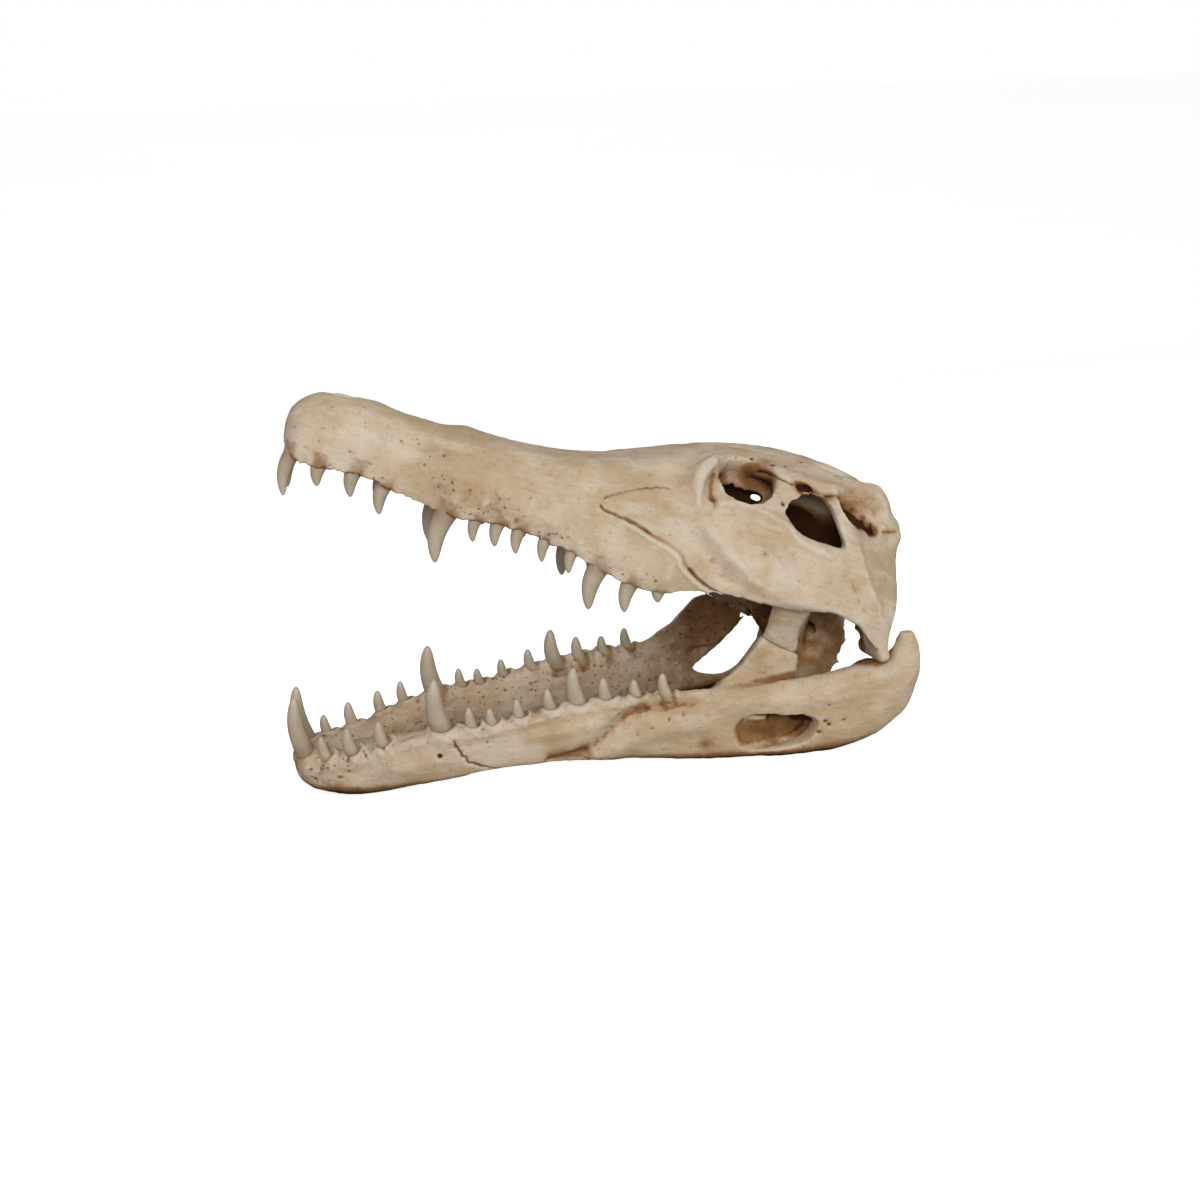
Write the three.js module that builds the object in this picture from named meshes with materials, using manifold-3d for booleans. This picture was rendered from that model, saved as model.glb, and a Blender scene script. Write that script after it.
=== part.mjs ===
// A crocodile skull at life size: the cranium with its upper teeth, and the two halves of the
// lower jaw with theirs. Millimetres, +Z up, snout towards -X, the animal's left side towards -Y.
// The lower jaw lies on the floor and the cranium gapes about the jaw joint.
import * as THREE from 'three';
import { mergeVertices } from 'three/addons/utils/BufferGeometryUtils.js';
import Module from 'manifold-3d';

const wasm = await Module();
wasm.setup();

// ---- Driving dimensions ----
const GAPE_DEG = 24; // pitch of the upper tooth row above the floor
const JAW_JOINT = { x: 205, z: 80 }; // the hinge line of the jaw, across the skull
const FIT_GAP = 0.5; // left between bones that touch
const WALL = 9; // thickness of the cheek plate
const MIDLINE_GAP = 0.3; // between the two halves of the lower jaw
const STATION_SPACING = 27; // the longest stretch between two sections
// The cranium's strut stands on the jaw's rising process along this sloping line, from front to rear.
const STRUT_SEAT = { front: [127, 92], rear: [145, 80] };

// Snout sections, in the cranium's own frame (origin at the jaw joint, tooth row level):
// place along the skull, half width at the tooth row, height of the tooth row, height of the top.
const SNOUT = [
  [-485, 9, 13, 34],
  [-481, 19, 6, 42],
  [-472, 27, 2, 51],
  [-456, 33, 1, 57],
  [-436, 36, 5, 59],
  [-416, 34, 6, 59],
  [-397, 30, 0, 58],
  [-378, 37, -1, 58],
  [-356, 48, -2, 61],
  [-326, 49, 2, 63],
  [-290, 51, 3, 67],
  [-258, 56, 0, 74],
  [-230, 65, -6, 84],
];
// How far out and how far up the section's cheek, shoulder and crown lie, as shares of its size.
const SNOUT_SHAPE = { cheek: [1.0, 0.34], shoulder: [0.83, 0.73], crown: [0.48, 0.94] };

// Rear sections: place, then half width and height of the lower edge, the cheek, the upper
// cheek or eye rim, and the edge of the skull roof, and last the height of the roof's middle.
const REAR = [
  [-205, 68, -9, 68, 22, 57, 62, 35, 88, 94],
  [-184, 73, -8, 74, 26, 60, 68, 33, 97, 104],
  [-160, 80, 2, 79, 34, 66, 74, 28, 105, 114],
  [-132, 86, 8, 85, 42, 73, 80, 29, 110, 122],
  [-108, 92, 11, 90, 44, 79, 82, 43, 114, 126],
  [-82, 97, 14, 95, 46, 83, 82, 50, 114, 129],
  [-56, 101, 21, 98, 50, 84, 84, 53, 115, 129],
  [-30, 103, 18, 97, 48, 78, 82, 52, 112, 124],
  [-14, 104, 6, 96, 42, 73, 76, 50, 103, 116],
  [-1, 103, 0, 93, 42, 69, 72, 49, 94, 105],
  [4, 100, 4, 91, 42, 67, 70, 46, 88, 96],
];

// Upper teeth of one side: place along the skull, length below the jaw edge, width.
const UPPER_TEETH = [
  [-473, 29, 13], [-452, 13, 13], [-427, 18, 14], [-403, 21, 14], [-354, 38, 19], [-332, 17, 12],
  [-315, 17, 13], [-298, 18, 13], [-277, 17, 12], [-255, 16, 12], [-232, 33, 19], [-205, 23, 16],
  [-184, 8, 14],
];

// Lower jaw sections of one side: place, heights of the lower and upper edge, half width of the
// outer face, and thickness of the bone.
const JAW = [
  [-264, 24, 36, 9, 18],
  [-261, 15, 39, 17, 32],
  [-252, 6, 40, 25, 42],
  [-236, 0, 39, 32, 50],
  [-214, -1, 41, 38, 52],
  [-194, 1, 45, 43, 44],
  [-174, 4, 49, 47, 29],
  [-144, 9, 53, 54, 22],
  [-110, 13, 53, 56, 18],
  [-60, 12, 60, 60, 17],
  [0, 7, 62, 66, 16],
  [55, 2, 63, 76, 17],
  [100, 0, 64, 87, 19],
  [145, -1, 66, 96, 22],
  [180, 1, 70, 101, 25],
  [205, 9, 75, 103, 27],
  [222, 24, 74, 103, 24],
  [235, 44, 68, 101, 12],
];

// Lower teeth of one side: place, height of the tip, width.
const LOWER_TEETH = [
  [-256, 86, 15], [-237, 54, 11], [-216, 60, 12], [-191, 64, 12], [-171, 68, 11], [-144, 95, 17],
  [-120, 69, 11], [-104, 66, 11], [-82, 71, 11], [-57, 76, 12], [-35, 91, 15], [-12, 80, 13],
  [12, 76, 12], [35, 79, 12],
];

// What differs between the jaw halves. The window in the side of the bone is a pocket with a
// back wall on the left. On the right it goes right through, and rises towards the inside by its
// slant. The front edge of the rising process stands further back and steeper on the left.
const LEFT_HALF = {
  window: {
    outline: [
      [86, 21], [87, 31], [97, 39], [118, 38], [129, 37], [142, 36], [150, 31], [151, 25], [146, 17],
      [137, 12], [124, 10], [107, 10], [92, 13],
    ],
    depth: -80,
    slant: [0, 0],
  },
  processFront: [[66, 50], [72, 60], [99, 77], [117, 98]],
  bareSpot: 4,
};
const RIGHT_HALF = {
  window: {
    outline: [
      [109, 14], [121, 22], [136, 31], [153, 46], [166, 58], [177, 56], [185, 45], [177, 31], [164, 17],
      [151, 6], [138, 2], [124, 4], [113, 8],
    ],
    depth: -40,
    slant: [-22, 26],
  },
  processFront: [[42, 50], [48, 60], [80, 77], [102, 98]],
  bareSpot: -1,
};

// The outline of the side opening behind the eye, as place along the skull and height.
const CHEEK_WINDOW = [
  [-111, 81], [-109, 87], [-104, 92], [-97, 97], [-88, 100], [-80, 101], [-73, 97], [-69, 90],
  [-65, 81], [-59, 73], [-58, 68], [-67, 69], [-79, 68], [-91, 69], [-103, 73],
];

// ---- Geometry helpers ----
const AHEAD = new THREE.Vector3(1, 0, 0);
const SIDEWAYS = new THREE.Vector3(0, 1, 0);
const UPWARDS = new THREE.Vector3(0, 0, 1);

function curveThrough(rows) {
  const keys = rows.map((row) => row[0]);
  const values = rows.flatMap((row) => row.slice(1));
  const size = rows[0].length - 1;
  const interpolant = new THREE.CubicInterpolant(keys, values, size, new Float64Array(size));
  return (key) => Array.from(interpolant.evaluate(key));
}

// Every row's place, with more places between rows that lie further apart than the spacing.
function stationsOf(rows, spacing) {
  const list = [];
  for (let i = 0; i < rows.length - 1; i += 1) {
    const [from, to] = [rows[i][0], rows[i + 1][0]];
    const steps = Math.ceil((to - from) / spacing);
    for (let s = 0; s < steps; s += 1) {
      list.push(from + ((to - from) * s) / steps);
    }
  }
  list.push(rows[rows.length - 1][0]);
  return list;
}

// Joins rings of points into one closed body. Each end is closed by a fan about its middle, or
// about the tip that is given for the far end.
function loft(rings, tip) {
  const count = rings[0].length;
  const positions = rings.flat().flatMap((point) => point.toArray());
  const index = [];
  for (let i = 0; i < rings.length - 1; i += 1) {
    for (let j = 0; j < count; j += 1) {
      const a = i * count + j;
      const b = i * count + ((j + 1) % count);
      index.push(a, b, b + count, a, b + count, a + count);
    }
  }
  const lastStart = (rings.length - 1) * count;
  const ends = [
    { hub: middleOf(rings[0]), start: 0, flip: true },
    { hub: tip ?? middleOf(rings[rings.length - 1]), start: lastStart, flip: false },
  ];
  for (const { hub, start, flip } of ends) {
    const hubIndex = positions.length / 3;
    positions.push(...hub.toArray());
    for (let j = 0; j < count; j += 1) {
      const a = start + j;
      const b = start + ((j + 1) % count);
      index.push(...(flip ? [hubIndex, b, a] : [hubIndex, a, b]));
    }
  }
  const geometry = new THREE.BufferGeometry();
  geometry.setAttribute('position', new THREE.Float32BufferAttribute(positions, 3));
  geometry.setIndex(index);
  return outward(geometry);
}

function middleOf(ring) {
  return ring.reduce((sum, point) => sum.add(point), new THREE.Vector3()).divideScalar(ring.length);
}

// Turns a closed mesh so that its faces point out, by the sign of its volume.
function outward(geometry) {
  const position = geometry.attributes.position;
  const index = geometry.index;
  const [a, b, c] = [new THREE.Vector3(), new THREE.Vector3(), new THREE.Vector3()];
  let volume = 0;
  for (let i = 0; i < index.count; i += 3) {
    a.fromBufferAttribute(position, index.getX(i));
    b.fromBufferAttribute(position, index.getX(i + 1));
    c.fromBufferAttribute(position, index.getX(i + 2));
    volume += a.dot(b.cross(c));
  }
  if (volume < 0) {
    for (let i = 0; i < index.count; i += 3) {
      const first = index.getX(i);
      index.setX(i, index.getX(i + 1));
      index.setX(i + 1, first);
    }
  }
  return geometry;
}

function mirrored(geometry) {
  return outward(geometry.clone().scale(1, -1, 1));
}

function solid(geometry) {
  const bare = geometry.clone();
  bare.deleteAttribute('normal');
  bare.deleteAttribute('uv');
  const merged = outward(mergeVertices(bare, 1e-4));
  return new wasm.Manifold(new wasm.Mesh({
    numProp: 3,
    vertProperties: new Float32Array(merged.attributes.position.array),
    triVerts: new Uint32Array(merged.index.array),
  }));
}

function joined(geometries) {
  return geometries.map(solid).reduce((whole, piece) => whole.add(piece));
}

function bothSides(geometries) {
  return geometries.concat(geometries.map(mirrored));
}

function toGeometry(body) {
  const mesh = body.getMesh();
  const geometry = new THREE.BufferGeometry();
  geometry.setAttribute('position', new THREE.Float32BufferAttribute(mesh.vertProperties, 3));
  geometry.setIndex(Array.from(mesh.triVerts));
  geometry.computeVertexNormals();
  return geometry;
}

function roundedPoint(angle, squareness) {
  const cos = Math.cos(angle);
  const sin = Math.sin(angle);
  const power = 2 / squareness;
  return [Math.sign(cos) * Math.abs(cos) ** power, Math.sign(sin) * Math.abs(sin) ** power];
}

// A bar of rounded section along a smooth path. Each row is x, y, z of the path's point, then
// half the section's size along the side direction and half of it across that.
function bar(rows, { side, sides = 8, steps = 1, squareness = 2.3 }) {
  const path = curveThrough(rows.map((row, i) => [i, ...row]));
  const last = rows.length - 1;
  const rings = [];
  for (let i = 0; i <= last * steps; i += 1) {
    const key = i / steps;
    const [x, y, z, halfSide, halfDepth] = path(key);
    const before = new THREE.Vector3(...path(Math.max(0, key - 0.1)));
    const after = new THREE.Vector3(...path(Math.min(last, key + 0.1)));
    const along = after.sub(before).normalize();
    const across = new THREE.Vector3().crossVectors(along, side).normalize();
    const flat = new THREE.Vector3().crossVectors(across, along).normalize();
    const ring = [];
    for (let j = 0; j < sides; j += 1) {
      const [u, v] = roundedPoint((2 * Math.PI * j) / sides, squareness);
      const point = new THREE.Vector3(x, y, z);
      point.addScaledVector(flat, u * halfSide).addScaledVector(across, v * halfDepth);
      ring.push(point);
    }
    rings.push(ring);
  }
  return loft(rings);
}

function egg(centre, radii, turn = [0, 0, 0], detail = 8) {
  const geometry = new THREE.SphereGeometry(1, detail, Math.round(detail * 0.6));
  geometry.scale(...radii);
  geometry.rotateX(turn[0]);
  geometry.rotateY(turn[1]);
  geometry.rotateZ(turn[2]);
  geometry.translate(...centre);
  return geometry;
}

// A window of the given outline, cut along Y from one depth to another. Its outline moves by the
// slant on the way.
function window(outline, from, to, slant = [0, 0]) {
  const outer = outline.map(([x, z]) => new THREE.Vector3(x, from, z));
  const inner = outline.map(([x, z]) => new THREE.Vector3(x + slant[0], to, z + slant[1]));
  return loft([outer, inner]);
}

// ---- Teeth ----
// A curved cone from its root to its tip, bowed by `bow` along X, and a little flat from side to side.
function tooth(root, tip, width, bow) {
  const sides = 5;
  const flatness = 0.85;
  const rings = [0, 0.6].map((share) => {
    const centre = root.clone().lerp(tip, share);
    centre.x += bow * Math.sin(Math.PI * share);
    const radius = (width / 2) * Math.sqrt(1 - share ** 1.8);
    return Array.from({ length: sides }, (unused, j) => {
      const angle = (2 * Math.PI * j) / sides;
      const across = flatness * radius * Math.sin(angle);
      return new THREE.Vector3(centre.x + radius * Math.cos(angle), centre.y + across, centre.z);
    });
  });
  return loft(rings, tip);
}

// ---- Cranium ----
function snoutRow([x, width, low, high]) {
  const { cheek, shoulder, crown } = SNOUT_SHAPE;
  const between = [cheek, shoulder, crown].flatMap(([out, up]) => [width * out, low + (high - low) * up]);
  return [x, width, low, ...between, high];
}

const CRANIUM_ROWS = SNOUT.map(snoutRow).concat(REAR);
const craniumAt = curveThrough(CRANIUM_ROWS);

function craniumRing(x) {
  const [mY, mZ, kY, kZ, rY, rZ, eY, eZ, top] = craniumAt(x);
  const left = [[-mY, mZ], [-kY, kZ], [-rY, rZ], [-eY, eZ], [0, top]];
  const right = [[eY, eZ], [rY, rZ], [kY, kZ], [mY, mZ]];
  const outline = new THREE.SplineCurve(left.concat(right).map(([y, z]) => new THREE.Vector2(y, z)));
  const samples = 16;
  const ring = [];
  for (let i = 0; i <= samples; i += 1) {
    const point = outline.getPoint(i / samples);
    ring.push(new THREE.Vector3(x, point.x, point.y));
  }
  const arch = 5;
  for (const share of [0.8, 0, -0.8]) {
    ring.push(new THREE.Vector3(x, mY * share, mZ + arch * (1 - share ** 4)));
  }
  return ring;
}

function craniumOuter() {
  return loft(stationsOf(CRANIUM_ROWS, STATION_SPACING).map(craniumRing));
}

// The hollow inside the cheek plate on the left: open below, closed by the roof above.
function jawMuscleHollow(from, to, inner) {
  const rings = [];
  const count = 6;
  for (let i = 0; i <= count; i += 1) {
    const x = from + ((to - from) * i) / count;
    const [mY, mZ, kY, kZ, rY, rZ, eY, eZ] = craniumAt(x);
    const roof = eZ - 12;
    const points = [
      [inner, -70], [mY - WALL, -70], [mY - WALL, mZ], [kY - WALL, kZ], [rY - WALL, rZ - 3],
      [eY, roof - 4], [eY - 12, roof], [inner, roof],
    ];
    rings.push(points.map(([y, z]) => new THREE.Vector3(x, -y, z)));
  }
  return loft(rings);
}

function eyeOpening() {
  const slope = 0.58;
  return egg([-139, -48, 94], [23, 27, 34], [slope, 0, 0], 12);
}

function upperTeeth() {
  return UPPER_TEETH.map(([x, length, width]) => {
    const [outer, low] = craniumAt(x);
    const out = outer - width * 0.42;
    const root = new THREE.Vector3(x, -out, low + 6);
    const tip = new THREE.Vector3(x + 1, -out - 1, low - length);
    return tooth(root, tip, width, -2);
  });
}

// The left strut under the cheek, cut off along the line where it stands on the lower jaw.
function strut(toCranium) {
  const column = bar([
    [-82, -84, 30, 22, 7], [-79, -80, 13, 17, 8], [-76, -72, -4, 14, 7], [-71, -66, -22, 17, 6],
    [-69, -65, -34, 17, 6],
  ], { side: AHEAD });
  return solid(column).subtract(solid(seatBlock(-1).applyMatrix4(toCranium)));
}

// A block whose face lies on the strut's seat, below it (-1) or above it (1), half a gap away.
function seatBlock(direction) {
  const size = 120;
  const [frontX, frontZ] = STRUT_SEAT.front;
  const [rearX, rearZ] = STRUT_SEAT.rear;
  const block = new THREE.BoxGeometry(size, 60, size);
  block.translate(0, 0, direction * (size / 2 - FIT_GAP / 2));
  block.rotateY(Math.atan2(frontZ - rearZ, rearX - frontX));
  block.translate((frontX + rearX) / 2, -68, (frontZ + rearZ) / 2);
  return block;
}

// The left jaw roller at the foot of the quadrate, made larger by `grow` to cut its socket.
function roller(grow) {
  const middle = -82;
  const profile = [[-62, 4], [-68, 8.5], [-84, 7.5], [-98, 8], [-103, 4]];
  const rows = profile.map(([y, radius]) => {
    const outwards = grow * Math.sign(middle - y);
    return [2, y - outwards, 0, radius + grow, radius + grow];
  });
  return bar(rows, { side: AHEAD, squareness: 2 });
}

function cranium(toCranium) {
  const strutSolid = strut(toCranium);
  let body = solid(craniumOuter());

  const hollow = jawMuscleHollow(-172, -10, 20);
  const palateWindow = egg([-172, -43, 4], [40, 21, 58]);
  const eye = eyeOpening();
  const cheekWindow = window(CHEEK_WINDOW, -112, -40);
  const roofGap = egg([-96, -63, 104.5], [9, 18, 3.6], [0, 0.1, 0]);
  const roofWindow = egg([-64, -25, 130], [21, 12, 45]);
  const earRecess = egg([-47, -77, 99], [23, 16, 13], [0, 0.35, 0]);
  const cuts = bothSides([hollow, palateWindow, eye, cheekWindow, roofGap, roofWindow, earRecess]);
  for (const cut of cuts) {
    body = body.subtract(solid(cut));
  }
  const naris = egg([-450, 0, 62], [17, 12, 22]);
  const behind = egg([10, 0, 6], [34, 76, 48]);
  const underRoof = bar([
    [-168, 0, 56, 26, 34], [-140, 0, 58, 26, 38], [-113, 0, 60, 26, 40],
  ], { side: SIDEWAYS });
  body = body.subtract(solid(naris)).subtract(solid(behind)).subtract(solid(underRoof));

  const septum = bar([
    [-150, 0, 86, 2.5, 14], [-130, 0, 86, 3, 18], [-108, 0, 86, 3, 22],
  ], { side: SIDEWAYS, sides: 6 });
  const opticSlot = bar([
    [-133, -60, 85, 7, 3.8], [-81, 60, 80, 7, 3.8],
  ], { side: AHEAD, sides: 6 });
  const braincase = bar([
    [-118, 0, 94, 10, 20], [-70, 0, 81, 19, 37], [-30, 0, 76, 26, 38], [-4, 0, 72, 30, 26],
  ], { side: SIDEWAYS });
  const palatine = bar([
    [-215, 0, 12, 22, 12], [-140, 0, 18, 17, 11], [-90, 0, 24, 24, 11], [-50, 0, 30, 34, 12],
    [-18, 0, 40, 30, 16],
  ], { side: SIDEWAYS });
  const tubera = bar([
    [-24, 0, 50, 24, 13], [-12, 0, 32, 24, 10], [-8, 0, 20, 19, 6],
  ], { side: SIDEWAYS });
  const neckKnob = egg([4, 0, 60], [11, 10, 9]);
  // The palate's two wings aren't quite alike: the right one is narrower towards its lower end.
  const wingTop = [[-38, -8, 28, 32, 9], [-35, -30, 11, 34, 5]];
  const leftWing = bar(wingTop.concat([
    [-31, -42, -14, 33, 4.5], [-26, -46, -38, 23, 4], [-23, -47, -54, 7, 3],
  ]), { side: AHEAD, squareness: 2.2 });
  const rightWing = bar(wingTop.concat([
    [-27, -42, -14, 27, 4.5], [-14, -46, -38, 13, 4], [-15, -47, -54, 6, 3],
  ]), { side: AHEAD, squareness: 2.2 });
  const brace = bar([
    [-76, -72, -6, 10, 6], [-60, -58, -6, 14, 5], [-44, -44, -4, 17, 4.5],
  ], { side: UPWARDS });
  const quadrate = bar([
    [1, -84, 4, 15, 9], [-12, -66, 40, 17, 9], [-24, -42, 74, 20, 10], [-28, -18, 98, 20, 12],
  ], { side: new THREE.Vector3(0.5, 0.6, 0.3) });
  const browRim = bar([
    [-175, -57, 62, 6, 5], [-183, -55, 77, 7, 7], [-177, -46, 93, 7, 7], [-160, -30, 105, 5, 4],
  ], { side: AHEAD, sides: 6, steps: 2 });
  const earKnob = egg([-5, -53, 86], [9, 13, 13]);

  body = body.add(joined([braincase, septum, palatine, tubera, neckKnob]));
  body = body.add(joined(bothSides([brace, quadrate, roller(0), browRim, earKnob])));
  body = body.add(joined([leftWing, mirrored(rightWing)]));
  body = body.add(strutSolid).add(solid(mirrored(toGeometry(strutSolid))));
  body = body.subtract(solid(egg([4, 0, 78], [22, 10, 9]))).subtract(solid(opticSlot));
  body = body.add(joined(bothSides(upperTeeth())));
  return body;
}

// ---- Lower jaw ----
const jawAt = curveThrough(JAW);

function jawRing(x) {
  const [low, high, outer, thick] = jawAt(x);
  const sides = 12;
  const middleY = -(outer - thick / 2);
  const middleZ = (low + high) / 2;
  const ring = [];
  for (let j = 0; j < sides; j += 1) {
    const [u, v] = roundedPoint((2 * Math.PI * j) / sides, 2.7);
    const y = Math.min(middleY + (u * thick) / 2, -MIDLINE_GAP / 2);
    ring.push(new THREE.Vector3(x, y, middleZ + (v * (high - low)) / 2));
  }
  return ring;
}

function lowerTeeth(bareSpot) {
  return LOWER_TEETH.filter((unused, i) => i !== bareSpot).map(([x, tipZ, width]) => {
    const [, high, outer] = jawAt(x);
    const out = outer - width * 0.5 - 2;
    const root = new THREE.Vector3(x + 2, -out, high - 8);
    const tip = new THREE.Vector3(x - 2, -out, tipZ);
    return tooth(root, tip, width, -1.5);
  });
}

function jawHalf({ window: opening, processFront, bareSpot }, toWorld) {
  let body = solid(loft(stationsOf(JAW, STATION_SPACING).map(jawRing)));
  const heel = bar([
    [194, -88, 36, 34, 12], [213, -91, 48, 29, 13], [226, -94, 66, 17, 12], [230, -95, 84, 11, 9],
    [229, -96, 96, 6, 5],
  ], { side: new THREE.Vector3(1, 0, -0.5) });
  const socketShelf = egg([203, -82, 56], [20, 19, 16]);
  const risingCorners = processFront.concat([[124, 102], [147, 86], [145, 64], [136, 50]]);
  const risingOutline = new THREE.Shape(risingCorners.map(([x, z]) => new THREE.Vector2(x, z)));
  const risingProcess = new THREE.ExtrudeGeometry(risingOutline, { depth: 8, bevelEnabled: false });
  risingProcess.rotateX(Math.PI / 2);
  risingProcess.translate(0, -62, 0);
  const process = solid(risingProcess).subtract(solid(seatBlock(1)));
  body = body.add(joined([heel, socketShelf])).add(process);
  body = body.subtract(solid(roller(FIT_GAP).applyMatrix4(toWorld)));

  const jawWindow = window(opening.outline, -110, opening.depth, opening.slant);
  const floorBox = new THREE.BoxGeometry(700, 300, 60);
  floorBox.translate(0, 0, -30);
  body = body.subtract(solid(jawWindow)).subtract(solid(floorBox));
  body = body.add(joined(lowerTeeth(bareSpot)));
  return body;
}

// ---- Assembly ----
function boneMaterial(name, colour, roughness) {
  return new THREE.MeshStandardMaterial({ name, color: colour, roughness, metalness: 0 });
}

function place(body, name, material) {
  const mesh = new THREE.Mesh(toGeometry(body), material);
  mesh.name = name;
  return mesh;
}

function build() {
  const group = new THREE.Group();
  const pitched = new THREE.Group();
  pitched.rotation.y = THREE.MathUtils.degToRad(GAPE_DEG);
  pitched.position.set(JAW_JOINT.x, 0, JAW_JOINT.z);
  pitched.updateMatrixWorld(true);
  const toCranium = pitched.matrixWorld.clone().invert();
  const craniumBone = boneMaterial('cranium_bone', 0xd8c9ae, 0.75);
  const jawBone = boneMaterial('jaw_bone', 0xd2c2a5, 0.78);
  pitched.add(place(cranium(toCranium), 'cranium', craniumBone));
  group.add(pitched);

  const left = place(jawHalf(LEFT_HALF, pitched.matrixWorld), 'mandible_left', jawBone);
  const right = place(jawHalf(RIGHT_HALF, pitched.matrixWorld), 'mandible_right', jawBone);
  right.geometry = mirrored(right.geometry);
  right.geometry.computeVertexNormals();
  group.add(left, right);

  // The origin goes to the middle of the floor under the skull.
  const box = new THREE.Box3().setFromObject(group, true);
  group.position.set(-(box.min.x + box.max.x) / 2, -(box.min.y + box.max.y) / 2, -box.min.z);
  return group;
}

const group = build();
export default group;
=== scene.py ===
# %% [markdown]
# # A crocodile's skull with its jaws open
# Three dry bones lie on a pale floor: the cranium, and the two halves of the lower jaw. The solids say
# how large each bone is and where it rests. Each bone is treated as clay: a copy of its solid is meshed
# evenly, its flat faces are rubbed smooth, and rims, ridges, seams and pits are pressed into it.

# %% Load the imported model
import math
from types import SimpleNamespace

import bmesh
import bpy
import numpy as np
from mathutils import Matrix, Vector
from mathutils.bvhtree import BVHTree


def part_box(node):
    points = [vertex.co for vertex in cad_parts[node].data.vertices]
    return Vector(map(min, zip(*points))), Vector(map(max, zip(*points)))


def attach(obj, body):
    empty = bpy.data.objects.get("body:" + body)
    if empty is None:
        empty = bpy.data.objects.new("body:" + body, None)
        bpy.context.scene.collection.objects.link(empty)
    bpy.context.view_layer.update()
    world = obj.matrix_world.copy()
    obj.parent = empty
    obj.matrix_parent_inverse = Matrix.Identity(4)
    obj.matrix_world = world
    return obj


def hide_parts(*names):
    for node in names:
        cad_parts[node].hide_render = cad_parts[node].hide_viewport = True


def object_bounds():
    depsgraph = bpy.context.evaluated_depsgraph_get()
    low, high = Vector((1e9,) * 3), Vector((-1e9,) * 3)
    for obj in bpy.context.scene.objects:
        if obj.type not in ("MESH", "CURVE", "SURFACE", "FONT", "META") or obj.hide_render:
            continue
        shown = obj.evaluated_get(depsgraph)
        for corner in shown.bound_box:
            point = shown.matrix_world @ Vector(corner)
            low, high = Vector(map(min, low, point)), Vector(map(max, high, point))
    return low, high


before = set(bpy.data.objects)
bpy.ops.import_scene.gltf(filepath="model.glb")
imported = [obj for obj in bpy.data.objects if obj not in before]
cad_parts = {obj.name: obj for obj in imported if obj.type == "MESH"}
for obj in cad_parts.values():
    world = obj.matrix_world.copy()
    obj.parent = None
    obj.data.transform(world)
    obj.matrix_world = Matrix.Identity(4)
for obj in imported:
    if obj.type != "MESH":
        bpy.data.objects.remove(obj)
cad_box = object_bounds()
print("nodes:", sorted(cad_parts))

# %% [markdown]
# The camera stands ahead of the skull's left side, a little above it, and leans a few degrees. Three
# helpers that many steps need come with it: they make an object, a mesh and a material.

# %% Helpers and camera
AZIMUTH = math.radians(11.3)
ELEVATION = math.radians(16.2)
LEAN = math.radians(-4.6)
DISTANCE = 0.84
AIM = Vector((0.00815, 0.0, 0.1277))
LENS = 30
SENSOR = 36


def new_object(name, data):
    made = bpy.data.objects.new(name, data)
    bpy.context.scene.collection.objects.link(made)
    return made


def mesh_from(bm, name):
    mesh = bpy.data.meshes.new(name)
    bm.to_mesh(mesh)
    bm.free()
    return mesh


def new_material(name):
    material = bpy.data.materials.new(name)
    material.use_nodes = True
    return material, material.node_tree, material.node_tree.nodes["Principled BSDF"]


def make_camera():
    look = Vector((
        math.sin(AZIMUTH) * math.cos(ELEVATION),
        math.cos(AZIMUTH) * math.cos(ELEVATION),
        -math.sin(ELEVATION),
    ))
    level = Vector((math.cos(AZIMUTH), -math.sin(AZIMUTH), 0))
    upright = level.cross(look)
    right = math.cos(LEAN) * level + math.sin(LEAN) * upright
    up = math.cos(LEAN) * upright - math.sin(LEAN) * level
    data = bpy.data.cameras.new("camera")
    data.lens = LENS
    data.sensor_width = SENSOR
    camera = new_object("camera", data)
    turn = Matrix((right, up, -look)).transposed().to_4x4()
    camera.matrix_world = Matrix.Translation(AIM - DISTANCE * look) @ turn
    bpy.context.scene.camera = camera
    return AIM - DISTANCE * look


print("camera at", [round(value, 3) for value in make_camera()])

# %% [markdown]
# A bone is easiest to shape in its own frame, in millimetres. The cranium's starts at the jaw hinge with
# the tooth row level, and it is pitched up by the gape. The lower jaw's lies flat on the floor.

# %% Frames of the bones
MM = 0.001
GAPE = math.radians(24)
HINGE = Vector((213.15, 0, 80))
JAW_LENGTH_TO_HINGE = 205

CRANIUM_PLACE = Matrix.Scale(MM, 4) @ Matrix.Translation(HINGE) @ Matrix.Rotation(GAPE, 4, "Y")
JAW_PLACE = Matrix.Scale(MM, 4) @ Matrix.Translation((HINGE.x - JAW_LENGTH_TO_HINGE, 0, 0))

# %% [markdown]
# The solids carry their teeth as five-sided cones. Each tooth is found by its tip: a vertex whose five
# neighbours form a level ring. The ring tells the tooth's width and lean, so the fine tooth that is
# made later stands exactly there. In the clay the cone is pushed in, which leaves a small socket.

# %% Find the teeth and turn them into sockets
RING_SHARE = 0.6
CONE_SIDES = 5
RING_SHRINK = math.sqrt(1 - RING_SHARE ** 1.8)
SOCKET_DEPTH_SHARE = 0.12
LEVEL_WITHIN = 0.02
SHORTEST_CONE = 3
SAME_POINT = 0.001


def ring_about(vertex):
    return [edge.other_vert(vertex) for edge in vertex.link_edges]


def is_tip(vertex):
    ring = ring_about(vertex)
    heights = [other.co.z for other in ring]
    level = max(heights) - min(heights) < LEVEL_WITHIN
    return len(ring) == CONE_SIDES and level and abs(vertex.co.z - heights[0]) > SHORTEST_CONE


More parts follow.
